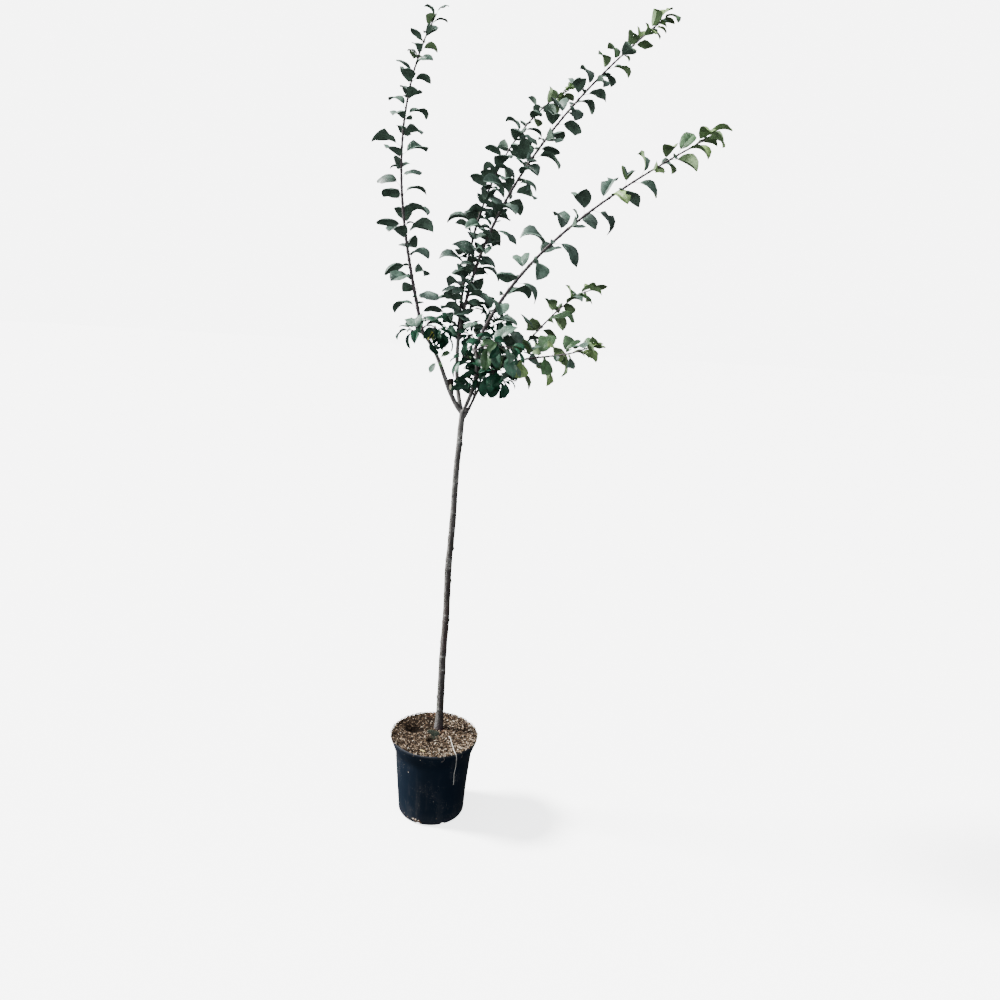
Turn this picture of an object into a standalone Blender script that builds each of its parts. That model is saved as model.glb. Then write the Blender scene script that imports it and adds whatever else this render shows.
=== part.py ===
"""A young fruit tree on a clear stem, growing in a round plastic nursery pot.

Metres, +Z up. The origin is the centre of the pot's underside, and +Y points to the back. The pot
is filled with compost to its lip. The trunk stands on the compost and forks at about 1.26 m into
four boughs. Six long leafy shoots and seven short leafy sprays stand on the boughs and the trunk.
"""

import functools
import math
import random
from typing import NamedTuple

import bmesh
import bpy
from mathutils import Vector
from mathutils.bvhtree import BVHTree

GAP = 0.0003
UP = Vector((0.0, 0.0, 1.0))

# The pot: a thin tapered wall, a flared collar under a rolled lip, and drain slots at the heel.
POT_SIDES = 36
POT_HEIGHT = 0.257
POT_WALL = 0.0022
UNDERSIDE_RADIUS = 0.0935
HEEL_RADIUS = 0.1035
HEEL_HEIGHT = 0.018
COLLAR_FOOT_RADIUS = 0.1180
COLLAR_FOOT_HEIGHT = 0.206
COLLAR_TOP_RADIUS = 0.1305
COLLAR_TOP_HEIGHT = 0.240
LIP_RADIUS = 0.1350
LIP_DEPTH = 0.009
LIP_WIDTH = 0.0040
DRAIN_COUNT = 8
DRAIN_WIDTH = 0.014
DRAIN_HEIGHT = 0.009

# The compost: a heaped top with a hollow at the back left and a level place round the trunk.
COMPOST_RINGS = 4
COMPOST_EDGE_DROP = 0.005
COMPOST_HEAP = 0.007
HOLLOW_CENTRE = (-0.060, 0.040)
HOLLOW_RADIUS = 0.036
HOLLOW_DEPTH = 0.013
LEVEL_RADIUS = 0.030

# The trunk, from its flat cut on the compost to the fork.
TRUNK_FOOT = (0.013, 0.032)
GROUND = 0.2605
TRUNK_SIDES = 10
TRUNK_RINGS = 18
TRUNK_LENGTH = 1.008
TRUNK_LEANS = (0.7, 1.15, 3.2)
TRUNK_RADII = (0.0120, 0.0086)
FLARE = 0.0036
FLARE_HEIGHT = 0.020
WAVE = 0.0014
WAVES = 3.3
COLLAR = 0.028
COLLAR_SWELL = 1.02
BOUGH_SIDES = 8
BOUGH_RINGS = 9
STEM_SIDES = 5
LIMB_STEPS = 12
SEAT_SPREAD = 0.0010

# The left bough was cut back: a short stub with a flat top stands beside the limb that grew on.
STUB_PLACE = 0.064
STUB_LENGTH = 0.044
STUB_LEAN = 3.0
STUB_RADIUS = 0.0074

# Side twigs of a spray: three-sided, from a third of the way up its stem.
TWIG_SIDES = 3
TWIG_RINGS = 4
TWIG_RADII = (0.0011, 0.0009)
TWIG_BARE = 0.016
TWIG_INTERNODE = 0.010
TWIG_DROOP = 8.0
TWIG_CLEAR = 0.008

# Leaves, on a spiral of two turns to five leaves. Each arches over and is folded along its middle.
SPIRAL = 144.0
PETIOLE = 0.26
PETIOLE_RADIUS = 0.0007
PETIOLE_CORNERS = ((-0.87, 0.5), (0.87, 0.5), (0.0, -1.0))
LEAF_WIDTH = 0.68
LEAF_THICKNESS = 0.0009
LEAF_STATIONS = (0.36, 0.72)
SMALL_LEAF = 0.046
SMALL_STATION = (0.56,)
LEAF_FOLDS = (26, 18, 32, 12, -16)
AXIL = 56.0
SKYWARD = 0.65
GUARD = 0.0010
FOLIAGE_FLOOR = 1.31
TURNS_TRIED = (0.0, 32.0, -32.0, 64.0, -64.0, 100.0, -100.0)


class Limb(NamedTuple):
    """A tapering limb that bends in one upright plane."""

    foot: tuple
    azimuth: float
    leans: tuple
    length: float
    radii: tuple


class Mass(NamedTuple):
    """One mass of foliage: where its stem stands and runs, and how it bears leaves and twigs."""

    carrier: str
    seat: float
    azimuth: float
    leans: tuple
    length: float
    radii: tuple
    leaf: float
    internode: float
    bare: float
    tip_size: float
    seed: int
    twigs: int = 0
    twig_length: float = 0.0


def heading(lean, azimuth):
    lean, azimuth = math.radians(lean), math.radians(azimuth)
    return Vector((math.sin(lean) * math.cos(azimuth), math.sin(lean) * math.sin(azimuth), math.cos(lean)))


def lean_at(limb, t):
    """The lean runs smoothly through its values at the foot, the middle and the tip."""
    foot, middle, tip = limb.leans
    return foot * (1 - t) * (1 - 2 * t) + 4 * middle * t * (1 - t) + tip * t * (2 * t - 1)


@functools.lru_cache(maxsize=None)
def centreline(limb):
    points = [Vector(limb.foot)]
    for step in range(LIMB_STEPS):
        direction = heading(lean_at(limb, (step + 0.5) / LIMB_STEPS), limb.azimuth)
        points.append(points[-1] + direction * (limb.length / LIMB_STEPS))
    return points


def along(limb, distance):
    """The limb's centre, direction, and two directions across it, at a distance from its foot."""
    points = centreline(limb)
    t = min(max(distance / limb.length, 0.0), 1.0)
    place = t * LIMB_STEPS
    step = min(int(place), LIMB_STEPS - 1)
    centre = points[step].lerp(points[step + 1], place - step)
    direction = heading(lean_at(limb, t), limb.azimuth)
    side = heading(90.0, limb.azimuth + 90.0)
    return centre, direction, side, direction.cross(side)


def radius_at(limb, distance):
    t = min(max(distance / limb.length, 0.0), 1.0)
    return limb.radii[0] + (limb.radii[1] - limb.radii[0]) * t


def tube(rings, sides):
    """A closed tube through rings of (centre, side, other side, radius)."""
    verts = []
    for centre, side, other, radius in rings:
        for corner in range(sides):
            turn = math.tau * corner / sides
            verts.append(centre + (side * math.cos(turn) + other * math.sin(turn)) * radius)
    faces = [tuple(range(sides))[::-1]]
    for ring in range(len(rings) - 1):
        low, high = ring * sides, (ring + 1) * sides
        for corner in range(sides):
            after = (corner + 1) % sides
            faces.append((low + corner, low + after, high + after, high + corner))
    top = (len(rings) - 1) * sides
    faces.append(tuple(range(top, top + sides)))
    return verts, faces


def limb_tube(limb, start, end, count, sides):
    rings = []
    for ring in range(count):
        distance = start + (end - start) * ring / (count - 1)
        centre, _, side, other = along(limb, distance)
        rings.append((centre, other, side, radius_at(limb, distance)))
    return tube(rings, sides)


def turned_out(shape):
    """The shape as an editable mesh, with all its faces pointing outwards."""
    mesh = bmesh.new()
    verts = [mesh.verts.new(vert) for vert in shape[0]]
    for face in shape[1]:
        mesh.faces.new([verts[index] for index in face])
    bmesh.ops.recalc_face_normals(mesh, faces=mesh.faces)
    return mesh


def add_object(name, shape, material=None):
    mesh = turned_out(shape)
    data = bpy.data.meshes.new(name)
    mesh.to_mesh(data)
    mesh.free()
    made = bpy.data.objects.new(name, data)
    bpy.context.scene.collection.objects.link(made)
    if material:
        data.materials.append(material)
    return made


def plain_material(name, colour, roughness):
    material = bpy.data.materials.new(name)
    material.use_nodes = True
    shader = material.node_tree.nodes["Principled BSDF"]
    shader.inputs["Base Color"].default_value = (*colour, 1.0)
    shader.inputs["Roughness"].default_value = roughness
    shader.inputs["Metallic"].default_value = 0.0
    return material


def unite(base, others):
    """Joins the other objects to the base by one Boolean union on a collection, and removes them."""
    group = bpy.data.collections.new(base.name + "_pieces")
    bpy.context.scene.collection.children.link(group)
    for other in others:
        bpy.context.scene.collection.objects.unlink(other)
        group.objects.link(other)
    union = base.modifiers.new("union", "BOOLEAN")
    union.operation = "UNION"
    union.operand_type = "COLLECTION"
    union.collection = group
    union.solver = "EXACT"
    with bpy.context.temp_override(object=base, active_object=base, selected_objects=[base]):
        bpy.ops.object.modifier_apply(modifier=union.name)
    for other in others:
        bpy.data.objects.remove(other)
    bpy.data.collections.remove(group)
    return base


def wall_profile(inset):
    """Radii and heights up the outside of the wall, from the heel to under the lip, moved inwards."""
    corner = (UNDERSIDE_RADIUS + 0.75 * (HEEL_RADIUS - UNDERSIDE_RADIUS), 0.32 * HEEL_HEIGHT)
    stations = (
        corner,
        (HEEL_RADIUS, HEEL_HEIGHT),
        (COLLAR_FOOT_RADIUS, COLLAR_FOOT_HEIGHT),
        (COLLAR_TOP_RADIUS, COLLAR_TOP_HEIGHT),
    )
    return [(radius - inset, height) for radius, height in stations]


def turned(name, profile, material):
    """A solid turned about the upright axis from a profile that starts and ends on it."""
    mesh = bmesh.new()
    verts = [mesh.verts.new((radius, 0.0, height)) for radius, height in profile]
    edges = [mesh.edges.new(pair) for pair in zip(verts, verts[1:])]
    bmesh.ops.spin(
        mesh,
        geom=verts + edges,
        cent=(0.0, 0.0, 0.0),
        axis=UP,
        angle=math.tau,
        steps=POT_SIDES,
        use_merge=True,
    )
    bmesh.ops.remove_doubles(mesh, verts=mesh.verts, dist=1e-6)
    bmesh.ops.recalc_face_normals(mesh, faces=mesh.faces)
    data = bpy.data.meshes.new(name)
    mesh.to_mesh(data)
    mesh.free()
    data.materials.append(material)
    made = bpy.data.objects.new(name, data)
    bpy.context.scene.collection.objects.link(made)
    data.shade_smooth()
    data.set_sharp_from_angle(angle=math.radians(40.0))
    return made


def make_pot():
    outside = [(0.0, 0.0), (UNDERSIDE_RADIUS, 0.0)] + wall_profile(0.0)
    lip = [
        (LIP_RADIUS - 0.0008, POT_HEIGHT - LIP_DEPTH),
        (LIP_RADIUS, POT_HEIGHT - 0.5 * LIP_DEPTH),
        (LIP_RADIUS - 0.35 * LIP_WIDTH, POT_HEIGHT),
        (LIP_RADIUS - LIP_WIDTH, POT_HEIGHT - 0.0008),
    ]
    inside = wall_profile(POT_WALL)[::-1]
    floor = [(UNDERSIDE_RADIUS - POT_WALL, POT_WALL), (0.0, POT_WALL)]
    material = plain_material("pot_plastic", (0.012, 0.016, 0.022), 0.52)
    pot = turned("pot", outside + lip + inside + floor, material)
    cutter = make_drain_cutter()
    cut = pot.modifiers.new("drain_slots", "BOOLEAN")
    cut.operation = "DIFFERENCE"
    cut.object = cutter
    return pot


def make_drain_cutter():
    """One object that holds the blocks for all the drain slots, at the heel of the pot."""
    mesh = bmesh.new()
    middle = HEEL_RADIUS - 0.004
    for slot in range(DRAIN_COUNT):
        turn = math.tau * (slot + 0.5) / DRAIN_COUNT
        block = bmesh.ops.create_cube(mesh, size=1.0)["verts"]
        bmesh.ops.scale(mesh, verts=block, vec=(0.020, DRAIN_WIDTH, 2 * DRAIN_HEIGHT))
        bmesh.ops.translate(mesh, verts=block, vec=(middle, 0.0, 0.0))
        for vert in block:
            x, y, z = vert.co
            vert.co = (x * math.cos(turn) - y * math.sin(turn), x * math.sin(turn) + y * math.cos(turn), z)
    bmesh.ops.recalc_face_normals(mesh, faces=mesh.faces)
    data = bpy.data.meshes.new("drain_cutter")
    mesh.to_mesh(data)
    mesh.free()
    cutter = bpy.data.objects.new("drain_cutter", data)
    bpy.context.scene.collection.objects.link(cutter)
    cutter.hide_render = True
    cutter.display_type = "WIRE"
    return cutter


def compost_height(x, y, edge_radius):
    """The heaped top of the compost over a place, level round the trunk's foot."""
    out = min(math.hypot(x, y) / edge_radius, 1.0)
    height = POT_HEIGHT - COMPOST_EDGE_DROP + COMPOST_HEAP * (1.0 - out**3)
    from_hollow = math.hypot(x - HOLLOW_CENTRE[0], y - HOLLOW_CENTRE[1]) / HOLLOW_RADIUS
    height -= HOLLOW_DEPTH * math.exp(-from_hollow * from_hollow)
    from_trunk = math.hypot(x - TRUNK_FOOT[0], y - TRUNK_FOOT[1]) / LEVEL_RADIUS
    level = min(max(2.0 - from_trunk, 0.0), 1.0)
    return height + (GROUND - GAP - height) * level


def make_compost():
    inside = wall_profile(POT_WALL + GAP)
    edge_radius = inside[-1][0]
    bottom = POT_WALL + GAP
    profile = [(0.0, bottom), (UNDERSIDE_RADIUS - POT_WALL - 0.002, bottom)]
    profile += [(radius, height + 0.0008) for radius, height in inside]
    rise = (POT_HEIGHT - COMPOST_EDGE_DROP - COLLAR_TOP_HEIGHT) / (POT_HEIGHT - COLLAR_TOP_HEIGHT)
    top_radius = edge_radius + rise * (LIP_RADIUS - LIP_WIDTH - COLLAR_TOP_RADIUS + POT_WALL)
    profile.append((top_radius - GAP, POT_HEIGHT - COMPOST_EDGE_DROP))
    for ring in range(COMPOST_RINGS - 1, -1, -1):
        profile.append((edge_radius * ring / COMPOST_RINGS, POT_HEIGHT))
    compost = turned("compost", profile, plain_material("compost_bark", (0.115, 0.078, 0.050), 0.95))
    for vert in compost.data.vertices:
        if vert.co.z > POT_HEIGHT - 0.5 * COMPOST_EDGE_DROP:
            vert.co.z = compost_height(vert.co.x, vert.co.y, edge_radius)
    return compost


TRUNK = Limb((*TRUNK_FOOT, GROUND), 0.0, TRUNK_LEANS, TRUNK_LENGTH, TRUNK_RADII)
FORK = tuple(along(TRUNK, TRUNK_LENGTH - 0.006)[0])
LOW_FORK = tuple(along(TRUNK, TRUNK_LENGTH - 0.030)[0])

BOUGHS = {
    "bough_left": Limb(FORK, 165.0, (44.0, 22.5, 50.5), 0.259, (0.0074, 0.0048)),
    "bough_middle": Limb(FORK, 116.0, (40.0, 10.0, -4.0), 0.228, (0.0064, 0.0054)),
    "bough_right": Limb(FORK, -66.5, (39.0, 28.0, -28.0), 0.208, (0.0052, 0.0044)),
    "bough_low": Limb(LOW_FORK, -14.0, (34.0, 24.0, 60.0), 0.174, (0.0040, 0.0036)),
}

MASSES = {
    "shoot_left": Mass(
        carrier="bough_left", seat=90.0, azimuth=150.0, leans=(16.0, 3.5, -34.0), length=0.838,
        radii=(0.0042, 0.0014), leaf=0.069, internode=0.0225, bare=0.018, tip_size=0.74, seed=11,
    ),
    "shoot_middle_rear": Mass(
        carrier="bough_middle", seat=-90.0, azimuth=32.0, leans=(2.0, 23.0, 60.0), length=0.825,
        radii=(0.0034, 0.0013), leaf=0.067, internode=0.0220, bare=0.014, tip_size=0.72, seed=12,
    ),
    "shoot_middle_front": Mass(
        carrier="bough_middle", seat=90.0, azimuth=-22.0, leans=(6.0, 33.0, 53.0), length=0.958,
        radii=(0.0038, 0.0014), leaf=0.069, internode=0.0230, bare=0.022, tip_size=0.74, seed=13,
    ),
    "shoot_right": Mass(
        carrier="bough_right", seat=120.0, azimuth=-28.0, leans=(21.0, 50.0, 62.0), length=0.794,
        radii=(0.0042, 0.0014), leaf=0.077, internode=0.0285, bare=0.020, tip_size=0.84, seed=14,
    ),
    "shoot_low_rear": Mass(
        carrier="bough_low", seat=30.0, azimuth=35.0, leans=(58.0, 49.0, 74.0), length=0.430,
        radii=(0.0026, 0.0012), leaf=0.063, internode=0.0190, bare=0.020, tip_size=0.90, seed=15,
    ),
    "shoot_low_front": Mass(
        carrier="bough_low", seat=150.0, azimuth=-35.0, leans=(50.0, 80.0, 64.0), length=0.298,
        radii=(0.0026, 0.0012), leaf=0.068, internode=0.0165, bare=0.016, tip_size=0.95, seed=16,
    ),
    "spray_outer": Mass(
        carrier="bough_left", seat=-130.0, azimuth=200.0, leans=(70.0, 82.0, 92.0), length=0.030,
        radii=(0.0015, 0.0011), leaf=0.061, internode=0.0075, bare=0.006, tip_size=0.90, seed=22,
    ),
    "spray_left": Mass(
        carrier="bough_left", seat=-42.0, azimuth=-58.0, leans=(40.0, 92.0, 126.0), length=0.120,
        radii=(0.0017, 0.0011), leaf=0.060, internode=0.0160, bare=0.012, tip_size=0.85, seed=17,
    ),
    "spray_middle": Mass(
        carrier="bough_middle", seat=0.0, azimuth=-150.0, leans=(36.0, 100.0, 150.0), length=0.110,
        radii=(0.0015, 0.0011), leaf=0.060, internode=0.0150, bare=0.008, tip_size=0.85, seed=23,
        twigs=1, twig_length=0.045,
    ),
    "spray_right": Mass(
        carrier="bough_right", seat=-60.0, azimuth=-45.0, leans=(60.0, 86.0, 96.0), length=0.130,
        radii=(0.0016, 0.0011), leaf=0.058, internode=0.0160, bare=0.008, tip_size=0.85, seed=18,
        twigs=3, twig_length=0.055,
    ),
    "spray_under": Mass(
        carrier="bough_low", seat=-90.0, azimuth=-100.0, leans=(75.0, 80.0, 88.0), length=0.075,
        radii=(0.0015, 0.0011), leaf=0.060, internode=0.0130, bare=0.006, tip_size=0.90, seed=19,
        twigs=3, twig_length=0.050,
    ),
    "spray_front": Mass(
        carrier="trunk", seat=0.0, azimuth=-53.0, leans=(66.0, 14.0, 6.0), length=0.195,
        radii=(0.0024, 0.0012), leaf=0.057, internode=0.0140, bare=0.090, tip_size=0.85, seed=20,
        twigs=4, twig_length=0.055,
    ),
    "spray_rear": Mass(
        carrier="trunk", seat=0.0, azimuth=48.0, leans=(44.0, 14.0, 10.0), length=0.310,
        radii=(0.0026, 0.0012), leaf=0.061, internode=0.0190, bare=0.070, tip_size=0.85, seed=21,
        twigs=4, twig_length=0.065,
    ),
}


def trunk_radius(height):
    return radius_at(TRUNK, height) + FLARE * math.exp(-height / FLARE_HEIGHT)


def trunk_centre(height):
    """The trunk's centre waves a little about its lean, and not at its two ends."""
    centre = along(TRUNK, height)[0]
    t = height / TRUNK_LENGTH
    sway = WAVE * math.sin(math.pi * t)
    return centre + Vector((sway * math.sin(WAVES * math.tau * t), sway * math.cos(WAVES * math.tau * t), 0))


def make_trunk(stubs):
    """The trunk with the short collar of each limb that leaves its fork."""
    bark = plain_material("trunk_bark", (0.105, 0.090, 0.078), 0.85)
    side, other = Vector((1, 0, 0)), Vector((0, 1, 0))
    rings = []
    for ring in range(TRUNK_RINGS):
        height = TRUNK_LENGTH * (ring / (TRUNK_RINGS - 1)) ** 1.25
        rings.append((trunk_centre(height), side, other, trunk_radius(height)))
    crown = trunk_centre(TRUNK_LENGTH) + UP * 0.004
    rings.append((crown, side, other, 0.6 * TRUNK_RADII[1]))
    trunk = add_object("trunk", tube(rings, TRUNK_SIDES), bark)
    pieces = []
    for limb, sides in stubs:
        swollen = limb._replace(radii=(limb.radii[0] * COLLAR_SWELL, limb.radii[0] * COLLAR_SWELL))
        pieces.append(add_object("collar", limb_tube(swollen, 0.0, COLLAR, 3, sides)))
    return unite(trunk, pieces)


def cut_stub():
    """The left bough's old leader, cut off flat just above the limb that grew on."""
    limb = BOUGHS["bough_left"]
    centre, _, side, other = along(limb, STUB_PLACE)
    lean = heading(STUB_LEAN, limb.azimuth)
    rings = [(centre + lean * STUB_LENGTH * reach, side, other, STUB_RADIUS) for reach in (0.0, 0.5, 1.0)]
    return tube(rings, BOUGH_SIDES)


def make_bough(name, limb, material):
    bough = add_object(name, limb_tube(limb, COLLAR + GAP, limb.length, BOUGH_RINGS, BOUGH_SIDES), material)
    if name == "bough_left":
        unite(bough, [add_object("cut_stub", cut_stub())])


def stem_of(mass):
    """The mass's stem. On a bough it stands on the cut tip, and on the trunk it starts in the fork."""
    if mass.carrier == "trunk":
        return Limb(FORK, mass.azimuth, mass.leans, mass.length, mass.radii)
    bough = BOUGHS[mass.carrier]
    tip, direction, side, other = along(bough, bough.length)
    start = heading(mass.leans[0], mass.azimuth)
    lift = GAP + mass.radii[0] * (start - direction * start.dot(direction)).length
    seat = math.radians(mass.seat)
    spread = (side * math.cos(seat) + other * math.sin(seat)) * (mass.radii[0] + SEAT_SPREAD)
    return Limb(tuple(tip + direction * lift + spread), mass.azimuth, mass.leans, mass.length, mass.radii)


def half_width(s, width):
    """Half the blade's width at a part of its length: widest just past the middle."""
    return 0.5 * width * math.sin(math.pi * s**1.12) ** 0.65


def leaf_frame(direction, radial, size, rng, t):
    """The directions and sizes of one leaf, from the place on its stem and its own random draws."""
    axil = math.radians((AXIL + rng.uniform(-10, 10)) * (1.0 - 0.70 * t**6))
    out = direction * math.cos(axil) + radial * math.sin(axil)
    out = (out + UP * rng.uniform(0.0, 0.25)).normalized()
    face = direction * (1.0 - SKYWARD) + UP * SKYWARD
    face = (face - out * face.dot(out)).normalized()
    roll = math.radians(rng.uniform(-42, 42))
    across = out.cross(face)
    face = face * math.cos(roll) + across * math.sin(roll)
    across = out.cross(face)
    length = size * rng.uniform(0.86, 1.10)
    recurve = math.radians(rng.uniform(55, 110))
    fold = math.radians(rng.choice(LEAF_FOLDS))
    return out, face, across, length, recurve, fold


def leaf_shape(centre, frame, guard=0.0):
    """A closed leaf: a three-sided petiole sunk in the stem, and a folded blade that arches over."""
    out, face, across, length, recurve, fold = frame
    petiole = PETIOLE * length
    width = LEAF_WIDTH * length + 2 * guard
    half = 0.5 * LEAF_THICKNESS + guard
    stations = LEAF_STATIONS if length > SMALL_LEAF else SMALL_STATION
    blade_foot = centre + out * petiole
    verts = []
    start = centre + out * (petiole * 0.6 if guard else 0.0)
    for place in (start, blade_foot):
        for side, rise in PETIOLE_CORNERS:
            verts.append(place + (across * side + face * rise) * (PETIOLE_RADIUS + 0.5 * guard))
    for s in stations + (1.0,):
        bend = recurve * s
        reach = math.sin(bend) / recurve * length
        drop = (1.0 - math.cos(bend)) / recurve * length
        middle = blade_foot + out * reach - face * drop
        if s == 1.0:
            verts.append(middle)
            break
        normal = face * math.cos(bend) + out * math.sin(bend)
        edge = half_width(s, width)
        lift = normal * (math.sin(fold) * edge)
        for side in (-1, 1):
            verts.append(middle + across * (side * math.cos(fold) * edge) + lift)
        verts.append(middle + normal * half)
        verts.append(middle - normal * half)
    faces = [(0, 1, 2), (0, 1, 4, 3), (1, 2, 5, 4), (2, 0, 3, 5)]
    first = 6
    left, right, top, under = first, first + 1, first + 2, first + 3
    faces += [(3, 4, top), (3, top, left), (4, right, top)]
    faces += [(3, left, under), (3, under, 5), (5, under, 4), (4, under, right)]
    for _ in stations[1:]:
        ahead = [index + 4 for index in (left, right, top, under)]
        for a, b, c, d in ((left, top, ahead[2], ahead[0]), (top, right, ahead[1], ahead[2])):
            faces += [(a, b, c), (a, c, d)]
        for a, b, c, d in ((left, under, ahead[3], ahead[0]), (under, right, ahead[1], ahead[3])):
            faces += [(a, b, c), (a, c, d)]
        left, right, top, under = ahead
    tip = len(verts) - 1
    faces += [(left, top, tip), (top, right, tip), (right, under, tip), (under, left, tip)]
    return verts, faces


class Space:
    """The solids that stand already, so that what grows next keeps clear of them."""

    def __init__(self):
        self.taken = []

    def add(self, shape):
        verts, faces = shape
        middle = sum(verts, Vector()) / len(verts)
        reach = max((vert - middle).length for vert in verts)
        self.taken.append((middle, reach, BVHTree.FromPolygons(verts, faces)))

    def is_clear(self, shape):
        verts, faces = shape
        middle = sum(verts, Vector()) / len(verts)
        reach = max((vert - middle).length for vert in verts)
        tree = BVHTree.FromPolygons(verts, faces)
        for other_middle, other_reach, other_tree in self.taken:
            if (middle - other_middle).length < reach + other_reach and tree.overlap(other_tree):
                return False
        return True


def twigs_of(stem, mass):
    """Side twigs spaced round the stem, each arching outwards."""
    twigs = []
    for index in range(mass.twigs):
        rng = random.Random(mass.seed * 1000 + 900 + index)
        distance = stem.length * (0.30 + 0.60 * (index + 0.5) / mass.twigs)
        centre, direction, side, other = along(stem, distance)
        turn = math.radians(index * SPIRAL + rng.uniform(-15, 15) + mass.seed * 40)
        radial = side * math.cos(turn) + other * math.sin(turn)
        out = (direction * 0.6 + radial * 0.8).normalized()
        lean = math.degrees(math.acos(out.z))
        azimuth = math.degrees(math.atan2(out.y, out.x))
        length = mass.twig_length * rng.uniform(0.85, 1.15)
        leans = (lean, lean + TWIG_DROOP, lean + 2 * TWIG_DROOP)
        twigs.append(Limb(tuple(centre), azimuth, leans, length, TWIG_RADII))
    return twigs


def leaf_places(length, internode, bare):
    """Distances up a stem that bear leaves, closer together towards the tip."""
    distance = bare
    while distance < length - 0.002:
        yield distance
        distance += internode * (1.0 - 0.55 * (distance / length) ** 3)
    yield length - 0.001


def leaf_size(mass, t):
    """Leaves are largest a third of the way up a stem, and small at its tip."""
    middling = 0.80 + 0.28 * math.sin(math.pi * min(1.0, 0.15 + t))
    return mass.leaf * middling * (1.0 + (mass.tip_size - 1.0) * t**5)


def grow_leaves(stem, mass, internode, bare, salt, space):
    """The leaves of one stem or twig. One that finds no clear place in its turns is left out."""
    shapes = []
    for index, distance in enumerate(leaf_places(stem.length, internode, bare)):
        rng = random.Random(mass.seed * 100000 + salt * 1000 + index)
        centre, direction, side, other = along(stem, distance)
        t = distance / stem.length
        turn = index * SPIRAL + rng.uniform(-14, 14)
        drawn = rng.getstate()
        for extra in TURNS_TRIED:
            rng.setstate(drawn)
            angle = math.radians(turn + extra)
            radial = side * math.cos(angle) + other * math.sin(angle)
            frame = leaf_frame(direction, radial, leaf_size(mass, t), rng, t)
            shape = leaf_shape(centre, frame)
            high = min(vert.z for vert in shape[0]) > FOLIAGE_FLOOR
            if high and space.is_clear(leaf_shape(centre, frame, GUARD)):
                space.add(shape)
                shapes.append(shape)
                break
    return shapes


def stem_start(mass):
    """A stem on the trunk starts past the collar that the trunk carries for it."""
    return COLLAR + GAP if mass.carrier == "trunk" else 0.0


def make_boughs(space):
    """The boughs, each kept in the space with its collar, and the upper trunk with them."""
    bark = plain_material("bough_bark", (0.120, 0.098, 0.090), 0.80)
    for name, limb in BOUGHS.items():
        make_bough(name, limb, bark)
        space.add(limb_tube(limb, 0.0, limb.length, BOUGH_RINGS, BOUGH_SIDES))
    space.add(limb_tube(TRUNK, 0.0, TRUNK_LENGTH, BOUGH_RINGS, TRUNK_SIDES))
    space.add(cut_stub())


def make_masses(stems, space):
    """Stems first, then twigs, then leaves, so that each keeps clear of all that stands before it."""
    foliage = plain_material("leaf_green", (0.028, 0.085, 0.040), 0.50)
    stem_shapes = {}
    for name, stem in stems.items():
        start = stem_start(MASSES[name])
        stem_shapes[name] = limb_tube(stem, start, stem.length, LIMB_STEPS + 1, STEM_SIDES)
        space.add(stem_shapes[name])

    twigs = {name: [] for name in MASSES}
    pieces = {name: [] for name in MASSES}
    for name, stem in stems.items():
        for twig in twigs_of(stem, MASSES[name]):
            if space.is_clear(limb_tube(twig, TWIG_CLEAR, twig.length, TWIG_RINGS, TWIG_SIDES)):
                shape = limb_tube(twig, 0.0, twig.length, TWIG_RINGS, TWIG_SIDES)
                space.add(shape)
                twigs[name].append(twig)
                pieces[name].append(shape)

    for name, stem in stems.items():
        mass = MASSES[name]
        bare = max(mass.bare, stem_start(mass))
        pieces[name] += grow_leaves(stem, mass, mass.internode, bare, 0, space)
        for number, twig in enumerate(twigs[name], start=1):
            pieces[name] += grow_leaves(twig, mass, TWIG_INTERNODE, TWIG_BARE, number, space)
        made = add_object(name, stem_shapes[name], foliage)
        unite(made, [add_object("piece", shape) for shape in pieces[name]])


def build():
    for old in list(bpy.data.objects):
        bpy.data.objects.remove(old)
    make_pot()
    make_compost()
    stems = {name: stem_of(mass) for name, mass in MASSES.items()}
    stubs = [(limb, BOUGH_SIDES) for limb in BOUGHS.values()]
    stubs += [(stem, STEM_SIDES) for name, stem in stems.items() if MASSES[name].carrier == "trunk"]
    make_trunk(stubs)
    space = Space()
    make_boughs(space)
    make_masses(stems, space)


build()
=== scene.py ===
import math
import random
from collections import namedtuple

import bpy
from mathutils import Matrix, Vector, noise
from mathutils.kdtree import KDTree


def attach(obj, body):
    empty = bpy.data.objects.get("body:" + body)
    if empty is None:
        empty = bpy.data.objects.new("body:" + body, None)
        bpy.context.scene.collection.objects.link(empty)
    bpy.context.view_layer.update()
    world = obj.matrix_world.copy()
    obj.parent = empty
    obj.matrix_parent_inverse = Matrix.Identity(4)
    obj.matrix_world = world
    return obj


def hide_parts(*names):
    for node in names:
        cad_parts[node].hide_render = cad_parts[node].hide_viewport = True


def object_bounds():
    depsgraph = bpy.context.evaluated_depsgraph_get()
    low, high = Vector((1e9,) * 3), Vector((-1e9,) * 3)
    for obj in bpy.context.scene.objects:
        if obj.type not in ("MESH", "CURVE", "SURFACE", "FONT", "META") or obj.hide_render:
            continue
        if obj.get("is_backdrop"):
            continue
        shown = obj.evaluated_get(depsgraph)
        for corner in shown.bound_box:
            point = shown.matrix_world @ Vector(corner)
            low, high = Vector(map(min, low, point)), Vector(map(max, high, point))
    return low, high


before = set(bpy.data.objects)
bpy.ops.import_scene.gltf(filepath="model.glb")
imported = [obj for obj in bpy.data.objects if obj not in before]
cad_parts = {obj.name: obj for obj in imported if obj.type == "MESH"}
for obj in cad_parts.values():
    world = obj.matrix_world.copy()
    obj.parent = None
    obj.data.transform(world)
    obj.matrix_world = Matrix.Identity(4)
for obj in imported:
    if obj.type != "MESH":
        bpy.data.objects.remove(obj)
cad_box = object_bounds()

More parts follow.
